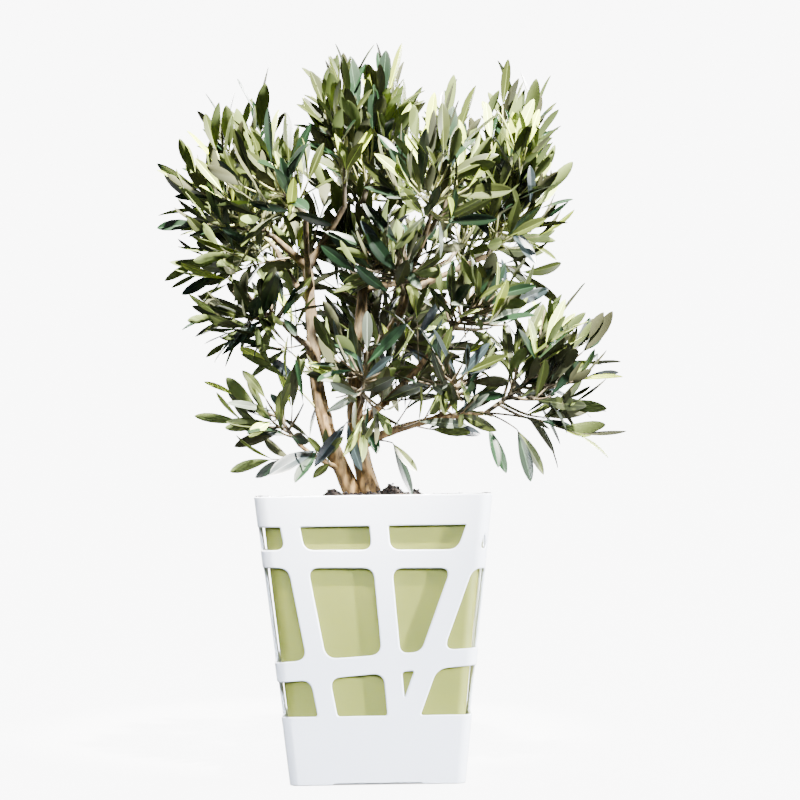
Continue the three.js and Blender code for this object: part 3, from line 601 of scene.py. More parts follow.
def open_outline(outline, inside, sizes):
    """The stretch of a closed outline that lies inside the corners' middles, its ends worked out
    between the outermost point inside and the next one outside."""
    first = np.flatnonzero(inside & ~np.roll(inside, 1))[0]
    outline, inside = np.roll(outline, -first, 0), np.roll(inside, -first)
    last = np.flatnonzero(~inside)[0]
    met = []
    for out, within in (outline[[-1, 0]], outline[[last, last - 1]]):
        gap = [abs(p[0]) - DIAGONAL * half_at(p[1], sizes) for p in (out, within)]
        met.append(within + (out - within) * (gap[1] / (gap[1] - gap[0])))
    return np.concatenate([met[:1], outline[:last], met[1:]])


def window_outlines(sizes):
    """The outlines of one side's windows, counter-clockwise, as distance along the wall's outline
    in half widths, and height. Those that run on round a corner are open, from corner to corner."""
    beyond = 12  # how far past the corner such a window's far edge is taken to lie
    foot = half_at(0.0, sizes)
    slope = half_at(1.0, sizes) - foot
    edges = [(-foot - beyond, -slope)]
    for bar in BARS:
        edges += [bar_edge(bar, -1), bar_edge(bar, 1)]
    edges.append((foot + beyond, slope))
    outlines = []
    for low, high, (below, above) in ROWS:
        for left, right in zip(edges[::2], edges[1::2]):
            corners = [
                meeting(left, low, sizes), meeting(right, low, sizes),
                meeting(right, high, sizes), meeting(left, high, sizes),
            ]
            radii = (below, below, above, above)
            if corners[1][0] <= corners[0][0]:
                # two bars cross above the lower edge, so the window is a triangle
                z = (left[0] - right[0]) / (right[1] - left[1])
                corners[:2] = [np.array([left[0] + left[1] * z, z])]
                radii = CROSSING_ROUND
            outline = rounded(corners, radii)
            inside = np.abs(outline[:, 0] / half_at(outline[:, 1], sizes)) < DIAGONAL
            closed = inside.all()
            if not closed:
                outline = open_outline(outline, inside, sizes)
            w = along_outline(outline[:, 0] / half_at(outline[:, 1], sizes))
            if not closed:
                w[[0, -1]] = np.sign(w[[0, -1]]) * QUARTER
            outlines.append((np.stack([w, outline[:, 1]], 1), closed))
    return outlines


def inside_outline(points, outline):
    """Which points lie inside a closed outline, by counting the edges to their right."""
    x, y = points[:, :1], points[:, 1:]
    a, b = outline, np.roll(outline, -1, 0)
    spans = (a[:, 1] > y) != (b[:, 1] > y)
    rise = np.where(b[:, 1] == a[:, 1], 1e-9, b[:, 1] - a[:, 1])
    cut = a[:, 0] + (y - a[:, 1]) * (b[:, 0] - a[:, 0]) / rise
    return (spans & (x < cut)).sum(1) % 2 == 1


class Sheet:
    """The vertices of an unrolled side of the wall as w, z and depth, added block by block."""

    def __init__(self):
        self.blocks, self.total = [], 0

    def add(self, w, z, depth):
        """Adds an array of vertices and gives their numbers."""
        self.blocks.append(np.stack([w, z, depth + 0 * w], -1).reshape(-1, 3))
        self.total += w.size
        return np.arange(self.total - w.size, self.total).reshape(w.shape)

    def table(self):
        """All vertices so far, a row for each."""
        return np.concatenate(self.blocks)


def window_rings(sheet, out, deep, sizes):
    """A rounded edge round each window: its outline repeated along a profile, each row moved out
    of the opening and sunk into the wall. Gives each ring's first row, on the outer face, its
    last, on the inner face, and whether it is closed, and the faces."""
    rings, groups = [], []
    for outline, closed in window_outlines(sizes):
        plane = np.stack([outline[:, 0] * half_at(outline[:, 1], sizes), outline[:, 1]], 1)
        way = np.roll(plane, -1, 0) - np.roll(plane, 1, 0)
        if not closed:
            way[0], way[-1] = plane[1] - plane[0], plane[-1] - plane[-2]
        away = unit(np.stack([way[:, 1], -way[:, 0]], 1))
        if not closed:
            # an end moves along the corner's middle, so that it meets the next side's
            for k in (0, -1):
                away[k] = [0, np.sign(away[k, 1]) / max(abs(away[k, 1]), 0.4)]
        ring = plane[None] + away[None] * out[:, None, None]
        w = ring[..., 0] / half_at(ring[..., 1], sizes)
        if not closed:
            w[:, [0, -1]] = outline[[0, -1], 0]
        rows = sheet.add(w, ring[..., 1], np.broadcast_to(deep[:, None], w.shape))
        groups.append(strips(rows, closed)[:, ::-1])
        rings.append((rows[0], rows[-1], closed))
    return rings, groups


def corner_line(sheet, rings, side, heights):
    """Vertices down the middle of one corner, where no window crosses it, and the ends of the
    windows that do. Gives the new ones' numbers, all in order of height, and the windows' spans."""
    table = sheet.table()
    ends, spans = [], []
    for front, _, closed in rings:
        if not closed and np.sign(table[front[0], 0]) == side:
            two = [(table[n, 1], n) for n in (front[0], front[-1])]
            ends += two
            spans.append(sorted(z for z, _ in two))
    clear = 1.5
    free = [z for z in heights if all(not a - clear < z < b + clear for a, b in spans)]
    added = sheet.add(np.full(len(free), side * QUARTER), np.array(free), 0.0)
    return added, sorted(ends + list(zip(free, added))), spans


def outer_face(sheet, rings, top, foot, bends, heights):
    """The outer face of a side, triangulated between its rim, its feet, the corners' middles and
    the windows, with rows of vertices down its bends. Gives the triangles and the feet's row."""
    # a step of 1 in w is about so many millimetres, at the foot and at the rim
    least, most = 100, 110
    near = 1.3
    table = sheet.table()
    holes = [table[front, :2] for front, _, _ in rings]
    grid = np.stack(np.meshgrid(bends, heights), -1).reshape(-1, 2)
    plain = np.ones(len(grid), bool)
    for hole in holes:
        gap = np.linalg.norm((grid[:, None] - hole[None]) * [least, 1], axis=-1).min(1)
        plain &= ~inside_outline(grid, hole) & (gap >= near)
    grid = grid[plain]

    edges = []
    for front, _, closed in rings:
        pairs = np.stack([front, np.roll(front, -1)], 1)
        edges.append(pairs if closed else pairs[:-1])
    lines = [corner_line(sheet, rings, side, heights) for side in (-1, 1)]
    top_row = sheet.add(top[:, 0], top[:, 1], 0.0)
    foot_row = sheet.add(foot[:, 0], foot[:, 1], 0.0)
    inner = sheet.add(grid[:, 0], grid[:, 1], 0.0)
    edges += [np.stack([row[:-1], row[1:]], 1) for row in (top_row, foot_row)]
    for (_, ends, spans), k in zip(lines, (0, -1)):
        chain = [(foot[k, 1], foot_row[k]), *ends, (top[k, 1], top_row[k])]
        edges.append(np.array([
            (a[1], b[1]) for a, b in zip(chain, chain[1:])
            if not any(low - 0.1 < (a[0] + b[0]) / 2 < high + 0.1 for low, high in spans)
        ]))

    fronts, corners = [ring[0] for ring in rings], [line[0] for line in lines]
    used = np.concatenate([*fronts, *corners, top_row, foot_row, inner])
    place = np.zeros(sheet.total, int)
    place[used] = np.arange(len(used))
    flat = sheet.table()[used, :2]
    cut = delaunay_2d_cdt(
        [Vector(p) for p in (flat * [most, 1]).tolist()],
        [tuple(pair) for pair in place[np.concatenate(edges)].tolist()], [], 0, 1e-5,
    )
    if len(cut[0]) != len(flat):
        raise RuntimeError("the cover's outlines cross")
    triangles = np.array([origin[0] for origin in cut[3]])[np.array(cut[2])]
    middle = flat[triangles].mean(1)
    lowest = np.interp(middle[:, 0], foot[:, 0], foot[:, 1])
    kept = (middle[:, 1] > lowest) & (middle[:, 1] < top[0, 1])
    for hole in holes:
        kept &= ~inside_outline(middle, hole)
    return used[triangles[kept]], foot_row


def cover_side(sizes):
    """One side of the cover, unrolled: a rounded edge round each window, whose profile turns from
    the outer face through a quarter circle into the wall and out again on the inside, the outer
    face, the inner face, which repeats it at the wall's depth, and the rounded rim and feet.
    Gives the vertices, the faces and the rows where the underside and the inside begin."""
    edge, wall, rim = sizes.edge_radius / MM, sizes.wall / MM, sizes.rim_height / MM
    turns = np.linspace(0, math.pi / 2, 4)
    sunk, risen = (1 - np.cos(turns)) * edge, np.sin(turns) * edge
    out = np.concatenate([1 - np.sin(turns), (1 - np.sin(turns))[::-1]]) * edge
    deep = np.concatenate([sunk, wall - sunk[::-1]])
    sheet = Sheet()
    rings, groups = window_rings(sheet, out, deep, sizes)

    # columns of vertices across the side, close together round the corners and at the notch
    half = half_at(0.0, sizes)
    arcs = 1 - CORNER + CORNER * np.linspace(0, math.pi / 4, 7)
    columns = np.concatenate([-arcs[::-1], np.linspace(-1, 1, 31)[1:-1] * (1 - CORNER), arcs])
    step = np.array([NOTCH["half"] - 1, NOTCH["half"] + 1]) / half
    columns = np.unique(np.concatenate([columns, step, -step]))
    raised = np.where(np.abs(columns) * half < NOTCH["half"], NOTCH["height"], 0)
    top = np.stack([columns, np.full(len(columns), rim - edge)], 1)
    foot = np.stack([columns, raised + edge], 1)
    bends, heights = np.concatenate([-arcs[:-1], arcs[:-1]]), np.arange(8, rim - 4, 4.0)
    triangles, foot_row = outer_face(sheet, rings, top, foot, bends, heights)
    groups.append(triangles)

    w, z, _ = sheet.table().T
    inside = sheet.add(w, np.maximum(z, FLOOR), wall)
    for front, back, _ in rings:
        inside[front] = back
    groups.append(inside[triangles][:, ::-1])

    def band(z, depth):
        """Rows of vertices across the side, each row at its own height and depth."""
        shape = (len(depth), len(columns))
        return sheet.add(
            np.broadcast_to(columns, shape), np.broadcast_to(z, shape),
            np.broadcast_to(depth[:, None], shape),
        )

    over = band(rim - edge + np.concatenate([risen, risen[::-1]])[:, None], deep)
    under_z = foot[None, :, 1] - np.array([*risen, edge, edge])[:, None]
    under_z[-1] = 0
    under = band(under_z, np.array([*sunk, NOTCH["depth"], NOTCH["depth"] + 0.3]))
    groups += [strips(over, False), strips(under, False)[:, ::-1]]
    return sheet.table(), groups, under[-1], inside[foot_row]


def cover_mesh(sizes):
    """The whole cover: four sides, every second one mirrored, a floor of fans to the middle, and
    coinciding points merged."""
    table, groups, under_row, inner_row = cover_side(sizes)
    points, faces3, faces4 = [], [], []
    for quarter in range(4):
        start = quarter * (len(table) + 2)
        side = wall_point(table[:, 0], table[:, 1], table[:, 2], quarter, sizes)
        points += [side, [[0, 0, 0], [0, 0, FLOOR]]]
        flip = 1 if quarter % 2 == 0 else -1
        for group in groups:
            (faces3 if group.shape[1] == 3 else faces4).append(group[:, ::flip] + start)
        for row, hub, turn in ((under_row, 0, -1), (inner_row, 1, 1)):
            middle = np.full(len(row) - 1, len(table) + hub)
            fan = np.stack([row[:-1], row[1:], middle], 1)[:, ::turn]
            faces3.append(fan[:, ::flip] + start)
    return merged(np.concatenate(points), [np.concatenate(faces3), np.concatenate(faces4)])


def square_loop(half, z, corner_steps=12, side_steps=12):
    """A closed loop of points round a rounded square of a given half width."""
    arcs = 1 - CORNER + CORNER * np.linspace(0, math.pi / 4, corner_steps // 2 + 1)
    flats = np.linspace(-1, 1, side_steps + 1)[1:-1] * (1 - CORNER)
    w = np.concatenate([-arcs[:0:-1], -arcs[:1], flats, arcs])[:-1]
    outline, _ = round_square(w)
    turned = [outline @ np.array([[c, s], [-s, c]]) for c, s in ((1, 0), (0, 1), (-1, 0), (0, -1))]
    flat = np.concatenate(turned) * half
    return np.concatenate([flat, np.full((len(flat), 1), float(z))], 1)


def liner_mesh(sizes):
    """The liner pot: a closed loft of rounded squares up the outside, over a rounded rim and down
    the inside."""
    rim = sizes.rim_height / MM - LINER["below_rim"]
    wall = LINER["wall"]
    foot = FLOOR + CLEAR
    lip = 0.8  # how far the rounding of the rim and of the foot reaches
    outside = [(lip, foot), (0, foot + lip)] + [(0, z) for z in np.linspace(12, rim - lip, 24)]
    over = [(0.3, rim - 0.3), (lip, rim), (wall - lip, rim), (wall - 0.3, rim - 0.3)]
    inside = [(wall, z) for z in (rim - lip, 200, 100, foot + LINER["floor"])]
    loops = [
        square_loop(half_at(z, sizes) - LINER["inset"] - inset, z)
        for inset, z in outside + over + inside
    ]
    return lofted(np.stack(loops))


# The soil


def soil_height(x, y, sizes):
    """The soil's surface: a low round mound at the trunk, lumps of several sizes, and a swelling
    under each heap of crumbs."""
    level = sizes.rim_height / MM - SOIL_BELOW_RIM
    apart = np.hypot(x - MOUND["x"], y - MOUND["y"]) / MOUND["radius"]
    mound = MOUND["height"] * np.sqrt(np.maximum(1 - apart**2, 0))
    lumps = sum(rise * ripple(x / gap, y / gap, seed) for gap, rise, seed in LUMPS)
    height = level - 1.5 + 0.85 * mound + lumps
    for cx, cy, _, radius in CLODS:
        away = (x - cx) ** 2 + (y - cy) ** 2
        height = height + 0.2 * radius * np.exp(-away / (0.3 * radius**2))
    return height


def soil_mesh(sizes):
    """The soil: rings of rounded squares out from the middle of its surface to the liner's wall,
    each lifted to the surface's height, then down the wall to a flat underside."""
    inset = LINER["inset"] + LINER["wall"] + CLEAR
    level = sizes.rim_height / MM - SOIL_BELOW_RIM
    half = half_at(level, sizes) - inset
    loops = []
    for share in np.linspace(0.012, 0.995, 72):
        loop = square_loop(half * share, level, 14, 40)
        loop[:, 2] = soil_height(loop[:, 0], loop[:, 1], sizes)
        loops.append(loop)
    bottom = FLOOR + CLEAR + LINER["floor"] + CLEAR
    for z in (level - 6, level - 30, bottom):
        loops.append(square_loop(half_at(z, sizes) - inset, z, 14, 40))
    return lofted(np.stack(loops)[::-1])


def lumps_mesh(places, sizes_mm, seed):
    """Rough lumps: for each place a ball of ten points, a cube's corners and two poles, each moved
    in or out by chance, and the whole squashed and turned. Each lump has twelve faces."""
    corners = np.array([[x, y, z] for x in (-1, 1) for y in (-1, 1) for z in (-1, 1)], float) * 0.58
    poles = np.array([[0, 0, 1.0], [0, 0, -1.0]])
    ball = np.concatenate([corners, poles])
    number = np.arange(len(places))[:, None]
    k = np.arange(10)[None]
    stretch = 0.7 + 0.6 * chance(number, k, seed)
    turn = TURN * chance(number[:, 0], 1, seed + 1)
    rough = ball[None] * stretch[..., None] * [1, 1, 0.8]
    c, s = np.cos(turn)[:, None], np.sin(turn)[:, None]
    x = rough[..., 0] * c - rough[..., 1] * s
    y = rough[..., 0] * s + rough[..., 1] * c
    shape = np.stack([x, y, rough[..., 2]], -1) * sizes_mm[:, None, None]
    points = (places[:, None] + shape).reshape(-1, 3)
    sides = np.array([[0, 4, 5, 1], [4, 6, 7, 5], [6, 2, 3, 7], [2, 0, 1, 3]])
    caps = np.array(
        [[1, 5, 8], [5, 7, 8], [7, 3, 8], [3, 1, 8], [4, 0, 9], [6, 4, 9], [2, 6, 9], [0, 2, 9]]
    )
    offset = (np.arange(len(places)) * 10)[:, None, None]
    return points, [(sides[None] + offset).reshape(-1, 4), (caps[None] + offset).reshape(-1, 3)]


def crumb_places(sizes):
    """Places and sizes of the loose crumbs. Most are scattered over the soil, small ones more
    often than large. Some lie heaped in a cone over each clod of the solid, and a few small ones
    spilled on the cover's rim, round its four sides."""
    number = np.arange(sizes.crumbs)
    draws = [chance(number, k, 71) for k in range(10)]
    half = half_at(SCATTER["height"], sizes) - SCATTER["margin"]
    x, y = (2 * draws[1] - 1) * half, (2 * draws[2] - 1) * half
    size = 0.8 + 2.6 * draws[3] ** 3

    heaped = number % HEAPED_EVERY == 0
    clod_x, clod_y, _, radius = CLODS[number // HEAPED_EVERY % len(CLODS)].T
    out, turn = np.sqrt(draws[4]), TURN * draws[5]
    x = np.where(heaped, clod_x + 1.15 * radius * out * np.cos(turn), x)
    y = np.where(heaped, clod_y + 1.15 * radius * out * np.sin(turn), y)
    size = np.where(heaped, 1.1 + 1.9 * draws[6] ** 2, size)
    lift = np.where(heaped, 1.05 * radius * (1 - out) * draws[7], 0)
    z = soil_height(x, y, sizes) + 0.3 * size + lift

    spilled = number % SPILLED_EVERY == 7
    rim = sizes.rim_height / MM
    across = half_at(rim, sizes) - sizes.wall / MM / 2
    along = (2 * draws[8] - 1) * across * (1 - CORNER)
    turn = number // SPILLED_EVERY
    front_or_back, across = turn % 2 == 0, across * (1 - 2 * (turn // 2 % 2))
    x = np.where(spilled, np.where(front_or_back, along, across), x)
    y = np.where(spilled, np.where(front_or_back, across, along), y)
    size = np.where(spilled, 0.4 + 0.8 * draws[9] ** 2, size)
    z = np.where(spilled, rim + 0.3 * size, z)
    return np.stack([x, y, z], 1), size


# The limbs


def limb(foot, tip, radii, bow=(0, 0, 0), sway=(0, 0, 0), flare=0.0):
    """A limb's sizes as arrays."""
    return dict(
        foot=np.array(foot, float), tip=np.array(tip, float), radii=radii,
        bow=np.array(bow, float), sway=np.array(sway, float), flare=flare,
    )


def limb_point(one, t):
    """A limb's centre line: straight from foot to tip, plus bow times sin(pi t) and sway times
    sin(2 pi t)."""
    t = np.asarray(t, float)[..., None]
    line = one["foot"] + (one["tip"] - one["foot"]) * t
    return line + one["bow"] * np.sin(math.pi * t) + one["sway"] * np.sin(TURN * t)


def limb_heading(one, t):
    """The way a limb runs at share t of its length."""
    return unit(limb_point(one, np.asarray(t) + 0.01) - limb_point(one, np.asarray(t) - 0.01))


def limb_radius(one, t):
    """A limb's radius: an even taper, plus a flare that dies away above the ground."""
    foot, tip = one["radii"]
    height = np.abs(limb_point(one, t)[..., 2] - GROUND)
    return foot + (tip - foot) * t + one["flare"] * np.exp(-height / 14)


def all_limbs():
    """Every limb by name, each bough starting on its parent's centre line."""
    limbs = {name: limb(**spec) for name, spec in STEMS.items()}
    for name, (parent, share, tip, radii, bow) in BOUGHS.items():
        limbs[name] = limb(limb_point(limbs[parent], share), tip, radii, bow)
    return limbs


LIMBS = all_limbs()
# each limb as eight straight chords, which stand in for it where distances are measured
CUTS = np.linspace(0, 1, 9)
CHORDS = np.concatenate(
    [np.stack([limb_point(o, CUTS[:-1]), limb_point(o, CUTS[1:])], 1) for o in LIMBS.values()]
)
CHORD_RADII = np.concatenate([limb_radius(o, (CUTS[:-1] + CUTS[1:]) / 2) for o in LIMBS.values()])


def frames_along(heading):
    """Two directions at right angles to each heading, turning evenly along a limb."""
    chord = unit(heading.mean(axis=-2, keepdims=True))
    across = np.where(np.abs(chord[..., :1]) < 0.5, [1.0, 0, 0], [0, 1.0, 0])
    side = unit(np.cross(heading, across))
    return side, np.cross(side, heading)


def bark_tube(one, number, sides, rings, start, relief):
    """A limb with bark: rings round its centre line, whose radius swells and shrinks with long
    furrows, fine cracks across them, knots, and a collar where it leaves its parent. Its far end
    rounds off."""
    t = start + (1 - start) * np.linspace(0, 1, rings)
    angle = np.linspace(0, TURN, sides, endpoint=False)
    centre, heading = limb_point(one, t), limb_heading(one, t)
    side, other = frames_along(heading)
    length, foot = np.linalg.norm(one["tip"] - one["foot"]), one["radii"][0]
    along = t[:, None] * length + 0 * angle
    radius = limb_radius(one, t)[:, None]
    around = angle / TURN + 0 * along
    count = max(round(TURN * foot / BARK["apart"]), 5)
    furrows = ripple(around * count, along / BARK["furrow"], number + 1, count)
    fine = ripple(around * count * 2, along / BARK["fine"], number + 2, count * 2)
    cracks = ripple(around * count, along / BARK["crack"], number + 3, count)
    rough = relief * (1.6 * furrows + 0.9 * fine + 0.5 * cracks) * np.minimum(radius / 6, 1.3)
    knots = 0
    for k in range(int(length / BARK["knots"])):
        place, turn = length * (0.06 + 0.9 * chance(number, k, 31)), chance(number, k, 32)
        apart = np.abs((around - turn + 0.5) % 1 - 0.5) * TURN * radius
        near = ((along - place) / (0.55 * radius + 2)) ** 2 + (apart / (0.4 * radius + 1.2)) ** 2
        knots = knots + (0.10 + 0.12 * chance(number, k, 33)) * radius * np.exp(-near)
    lean = 0.06 * radius * ripple(around * 3, along / 34, number + 4, 3)
    collar = 0
    if one["flare"] == 0:
        past = np.maximum(along - 1.2 * foot - 3, 0)
        collar = 0.45 * radius * np.exp(-past / (1.6 * foot))
    ending = ((along - length + BARK["end"]) / BARK["end"]).clip(0, 0.98)
    closing = np.sqrt(np.clip(1 - ending**2, 0.04, 1))
    reach = (radius + rough + knots + lean + collar) * closing
    ring = other[:, None] * np.cos(angle)[:, None] + side[:, None] * np.sin(angle)[:, None]
    return lofted(centre[:, None] + ring * reach[..., None])


def joined(parts):
    """Several sets of points and groups of faces as one, the groups sorted by corner count."""
    points, start = [], 0
    by_count = {}
    for these, groups in parts:
        for group in groups:
            by_count.setdefault(group.shape[1], []).append(group + start)
        points.append(these)
        start += len(these)
    return np.concatenate(points), [np.concatenate(g) for g in by_count.values()]


# Twigs and leaves


def pull(points):
    """How far each point is from each mass's centre, squared and less the mass's weight."""
    return ((points[:, None] - CENTRES) ** 2).sum(-1) - WEIGHTS


def own_side(index, points):
    """Which points are nearer to their own mass than to any other, by centres and weights."""
    pulls = pull(points)
    gap = 2 * CELL_GAP * np.linalg.norm(CENTRES - CENTRES[index], axis=1)
    clear = pulls - pulls[:, index : index + 1] > gap
    clear[:, index] = True
    return clear.all(1)


def depth_in(index, points):
    """How far out points lie in a mass's space, 1 being its skin."""
    return np.linalg.norm((points - CENTRES[index]) / REACHES[index], axis=-1)


def touches_limb(points, gap):
    """Which points come within a gap of any limb."""
    line = CHORDS[:, 1] - CHORDS[:, 0]
    share = ((points[:, None] - CHORDS[:, 0]) * line).sum(-1) / (line**2).sum(-1)
    foot = CHORDS[:, 0] + line * np.clip(share, 0, 1)[..., None]
    apart = np.linalg.norm(points[:, None] - foot, axis=-1)
    return (apart < CHORD_RADII + gap).any(1)


def turned(v, axis, angle):
    """Vectors v turned round unit axes by angles a: v cos a + (axis × v) sin a + axis times
    (axis · v) (1 - cos a)."""
    c, s = np.cos(angle)[..., None], np.sin(angle)[..., None]
    dot = (axis * v).sum(-1, keepdims=True)
    return v * c + np.cross(axis, v) * s + axis * dot * (1 - c)


def curve_point(twig, t):
    """A twig's centre line: (1 - t)² foot + 2 t (1 - t) bend + t² end."""
    foot, bend, end = twig
    t = np.asarray(t, float)[..., None]
    return (1 - t) ** 2 * foot + 2 * t * (1 - t) * bend + t * t * end


def curve_heading(twig, t):
    """The way a twig runs at share t of its length."""
    foot, bend, end = twig
    t = np.asarray(t, float)[..., None]
    return unit((bend - foot) * (1 - t) + (end - bend) * t)


def shoots_of(index, count, rise, seed):
    """The shoots of a mass by the solids' rule: they leave a stem that runs on from the bough's
    tip, spread over the space's skin by the golden angle, turned upwards by rise, and end short of
    it. Gives the stem's two ends, and for each shoot its number, its foot, bend and end, and its
    length. With no rise and seed 1 the shoots are the solids' own."""
    name = MASS_NAMES[index]
    lift = MASSES[name][3]
    bough = LIMBS[name]
    root = bough["tip"] + limb_heading(bough, 1.0) * CLEAR
    heart = root + (CENTRES[index] - root) * STEM_SHARE
    out = unit(CENTRES[index] - root)
    turn = Vector(UP).rotation_difference(Vector(out)).to_matrix()
    shoots = []
    for i in range(count):
        tilt = math.acos(1 - ((i + 0.5) / count) * (1 - math.cos(FAN)))
        around = i * GOLDEN_ANGLE + 6.28 * chance(index, seed)
        way = turn @ Vector(
            (math.sin(tilt) * math.cos(around), math.sin(tilt) * math.sin(around), math.cos(tilt))
        )
        foot = root + (heart - root) * (0.97 - 0.8 * i / count)
        span = unit(np.array(way) + UP * rise) * REACHES[index]
        short = min(SHORT_OF_SKIN / np.linalg.norm(span), 0.5)
        end = CENTRES[index] + span * (0.94 + 0.12 * chance(index, i, seed + 1) - short)
        shares = np.arange(1, 0.2, -0.04)
        free = own_side(index, foot + (end - foot) * (shares + 0.04)[:, None])
        share = shares[np.argmax(free)] if free.any() else 0.2
        end = foot + (end - foot) * share
        length = np.linalg.norm(end - foot)
        if length < LEAST_SHOOT:
            continue
        bend = foot + (end - foot) * 0.55 - UP * lift * length
        shoots.append((i, (foot, bend, end), length))
    return root, heart, shoots


def leaves_on(index, key, twig, length, leaf, rank, mix, bound=True):
    """Pairs of leaves along a twig, each pair at a right angle to the last, leaning forward more
    towards the tip. Bound leaves stay in their mass's space. Gives a row for each leaf: its base,
    way, upper face, length, kind and a number from 0 to 1 of its own."""
    scale = rank["scale"]
    gap = leaf.pair_gap / MM * (0.55 + 0.45 * scale)
    count = int(length * (1 - rank["bare"]) / gap)
    pair = np.repeat(np.arange(count + 1), 2)
    side = np.tile([0, 1], count + 1)
    number = key * 40 + pair * 2 + side
    t = 1 - (count - pair) * gap / length
    heading = curve_heading(twig, t)
    level = np.cross(heading, UP)
    level = np.where(np.linalg.norm(level, axis=1, keepdims=True) < 0.1, [1.0, 0, 0], unit(level))
    roll = (pair % 2) * math.pi / 2 + side * math.pi + 0.7 * (chance(index, number, 3) - 0.5)
    away = turned(level, heading, roll + key)
    near, far = LEAF_LEAN
    spread = np.radians(near + (far - near) * t + 24 * (chance(index, number, 4) - 0.5))
    way = heading * np.cos(spread)[:, None] + away * np.sin(spread)[:, None]
    way = unit(way + UP * (0.1 + 0.5 * RISE[mix]))
    seen = heading + HANGING_FACE if mix == "hanging" else heading
    face = unit(seen - way * (seen * way).sum(1, keepdims=True))
    face = turned(face, way, 0.9 * (chance(index, number, 7) - 0.5))
    size = leaf.length / MM * (0.74 + 0.42 * chance(index, number, 5)) * (1 - 0.2 * t) * scale
    base = curve_point(twig, t)
    tip = base + way * size[:, None]
    middle = base + way * size[:, None] * 0.55
    fits = ~touches_limb(middle, 3.0) & ~touches_limb(tip, 1.5)
    if bound:
        fits &= own_side(index, middle) & (pull(tip)[:, index] - pull(tip).min(1) < TIP_SLACK)
        fits &= depth_in(index, tip) < 1 + PAST_SKIN / REACHES[index].min()
    # old leaves near a shoot's foot, deep in the crown, where their many dark ones are partly
    # painted shade, and younger ones towards its tip
    aged = t < 0.25 + 0.4 * chance(index, number, 44)
    old, young = (kind_of(index, key, number, which) for which in ("old", mix))
    own = chance(index, number, 51)
    return np.column_stack([base, way, face, size, np.where(aged, old, young), own])[fits]


def kind_of(index, spray, number, mix):
    """The kind of each leaf: most of a spray share its kind, drawn from the mix, and the rest are
    drawn leaf by leaf."""
    bounds = np.cumsum(MIXES[mix])
    common = np.searchsorted(bounds, chance(index, spray, 41) * bounds[-1])
    single = np.searchsorted(bounds, chance(index, number, 42) * bounds[-1])
    return np.where(chance(index, number, 43) < 0.55, common, single)


def side_twigs(index):
    """Short twigs along a leafy bough, turned round it by the golden angle from one to the next."""
    bough = LIMBS[MASS_NAMES[index]]
    length = np.linalg.norm(bough["tip"] - bough["foot"])
    made = []
    for j in range(int(0.7 * length / SIDE_GAP)):
        t = 0.25 + j * SIDE_GAP / length
        foot, heading = limb_point(bough, t), limb_heading(bough, t)
        level = unit(np.cross(heading, UP))
        away = turned(level, heading, np.array(j * GOLDEN_ANGLE + index))
        reach = 24 + 34 * chance(index, j, 91)
        end = foot + unit(heading * 0.7 + away * 0.75 + UP * 0.1) * reach
        if end[2] > foot[2] - SAG and not touches_limb(end[None], 5.0)[0]:
            made.append((j, (foot, (foot + end) / 2 - UP * 0.08 * reach, end), reach))
    return made


def side_shoot(index, i, j, twig, length, leaf, rise):
    """The side shoot at pair j of the leaves on shoot i, cut back until it ends in its mass's own
    space and clear of the limbs: its foot, bend and end, and its length. None where chance or
    room leaves none."""
    t = SIDE_SHOOTS[0] + j * leaf.pair_gap / MM / length
    key = i * 20 + j
    if chance(index, key, 11) > leaf.branching or t > SIDE_SHOOTS[1]:
        return None
    heading = curve_heading(twig, t)
    level = np.cross(heading, UP)
    level = unit(level) if np.linalg.norm(level) > 0.1 else np.array([1.0, 0, 0])
    away = turned(level, heading, np.array(j * 2.4 + i + 0.6))
    lean = 0.72 + 0.3 * chance(index, key, 12)
    way = unit(heading * math.cos(lean) + away * math.sin(lean) + UP * (0.1 + rise))
    foot = curve_point(twig, t)
    reach = length * (0.62 - 0.42 * t) * (0.7 + 0.5 * chance(index, key, 13))
    shares = np.linspace(1, 0.3, 10)
    ends = foot + way * (reach * shares)[:, None]
    free = own_side(index, ends) & (depth_in(index, ends) < 0.9) & ~touches_limb(ends, 4.0)
    reach = reach * shares[np.argmax(free)]
    if not free.any() or reach < LEAST_SIDE_SHOOT:
        return None
    return (foot, foot + way * reach * 0.5 - UP * 0.1 * reach, foot + way * reach), reach


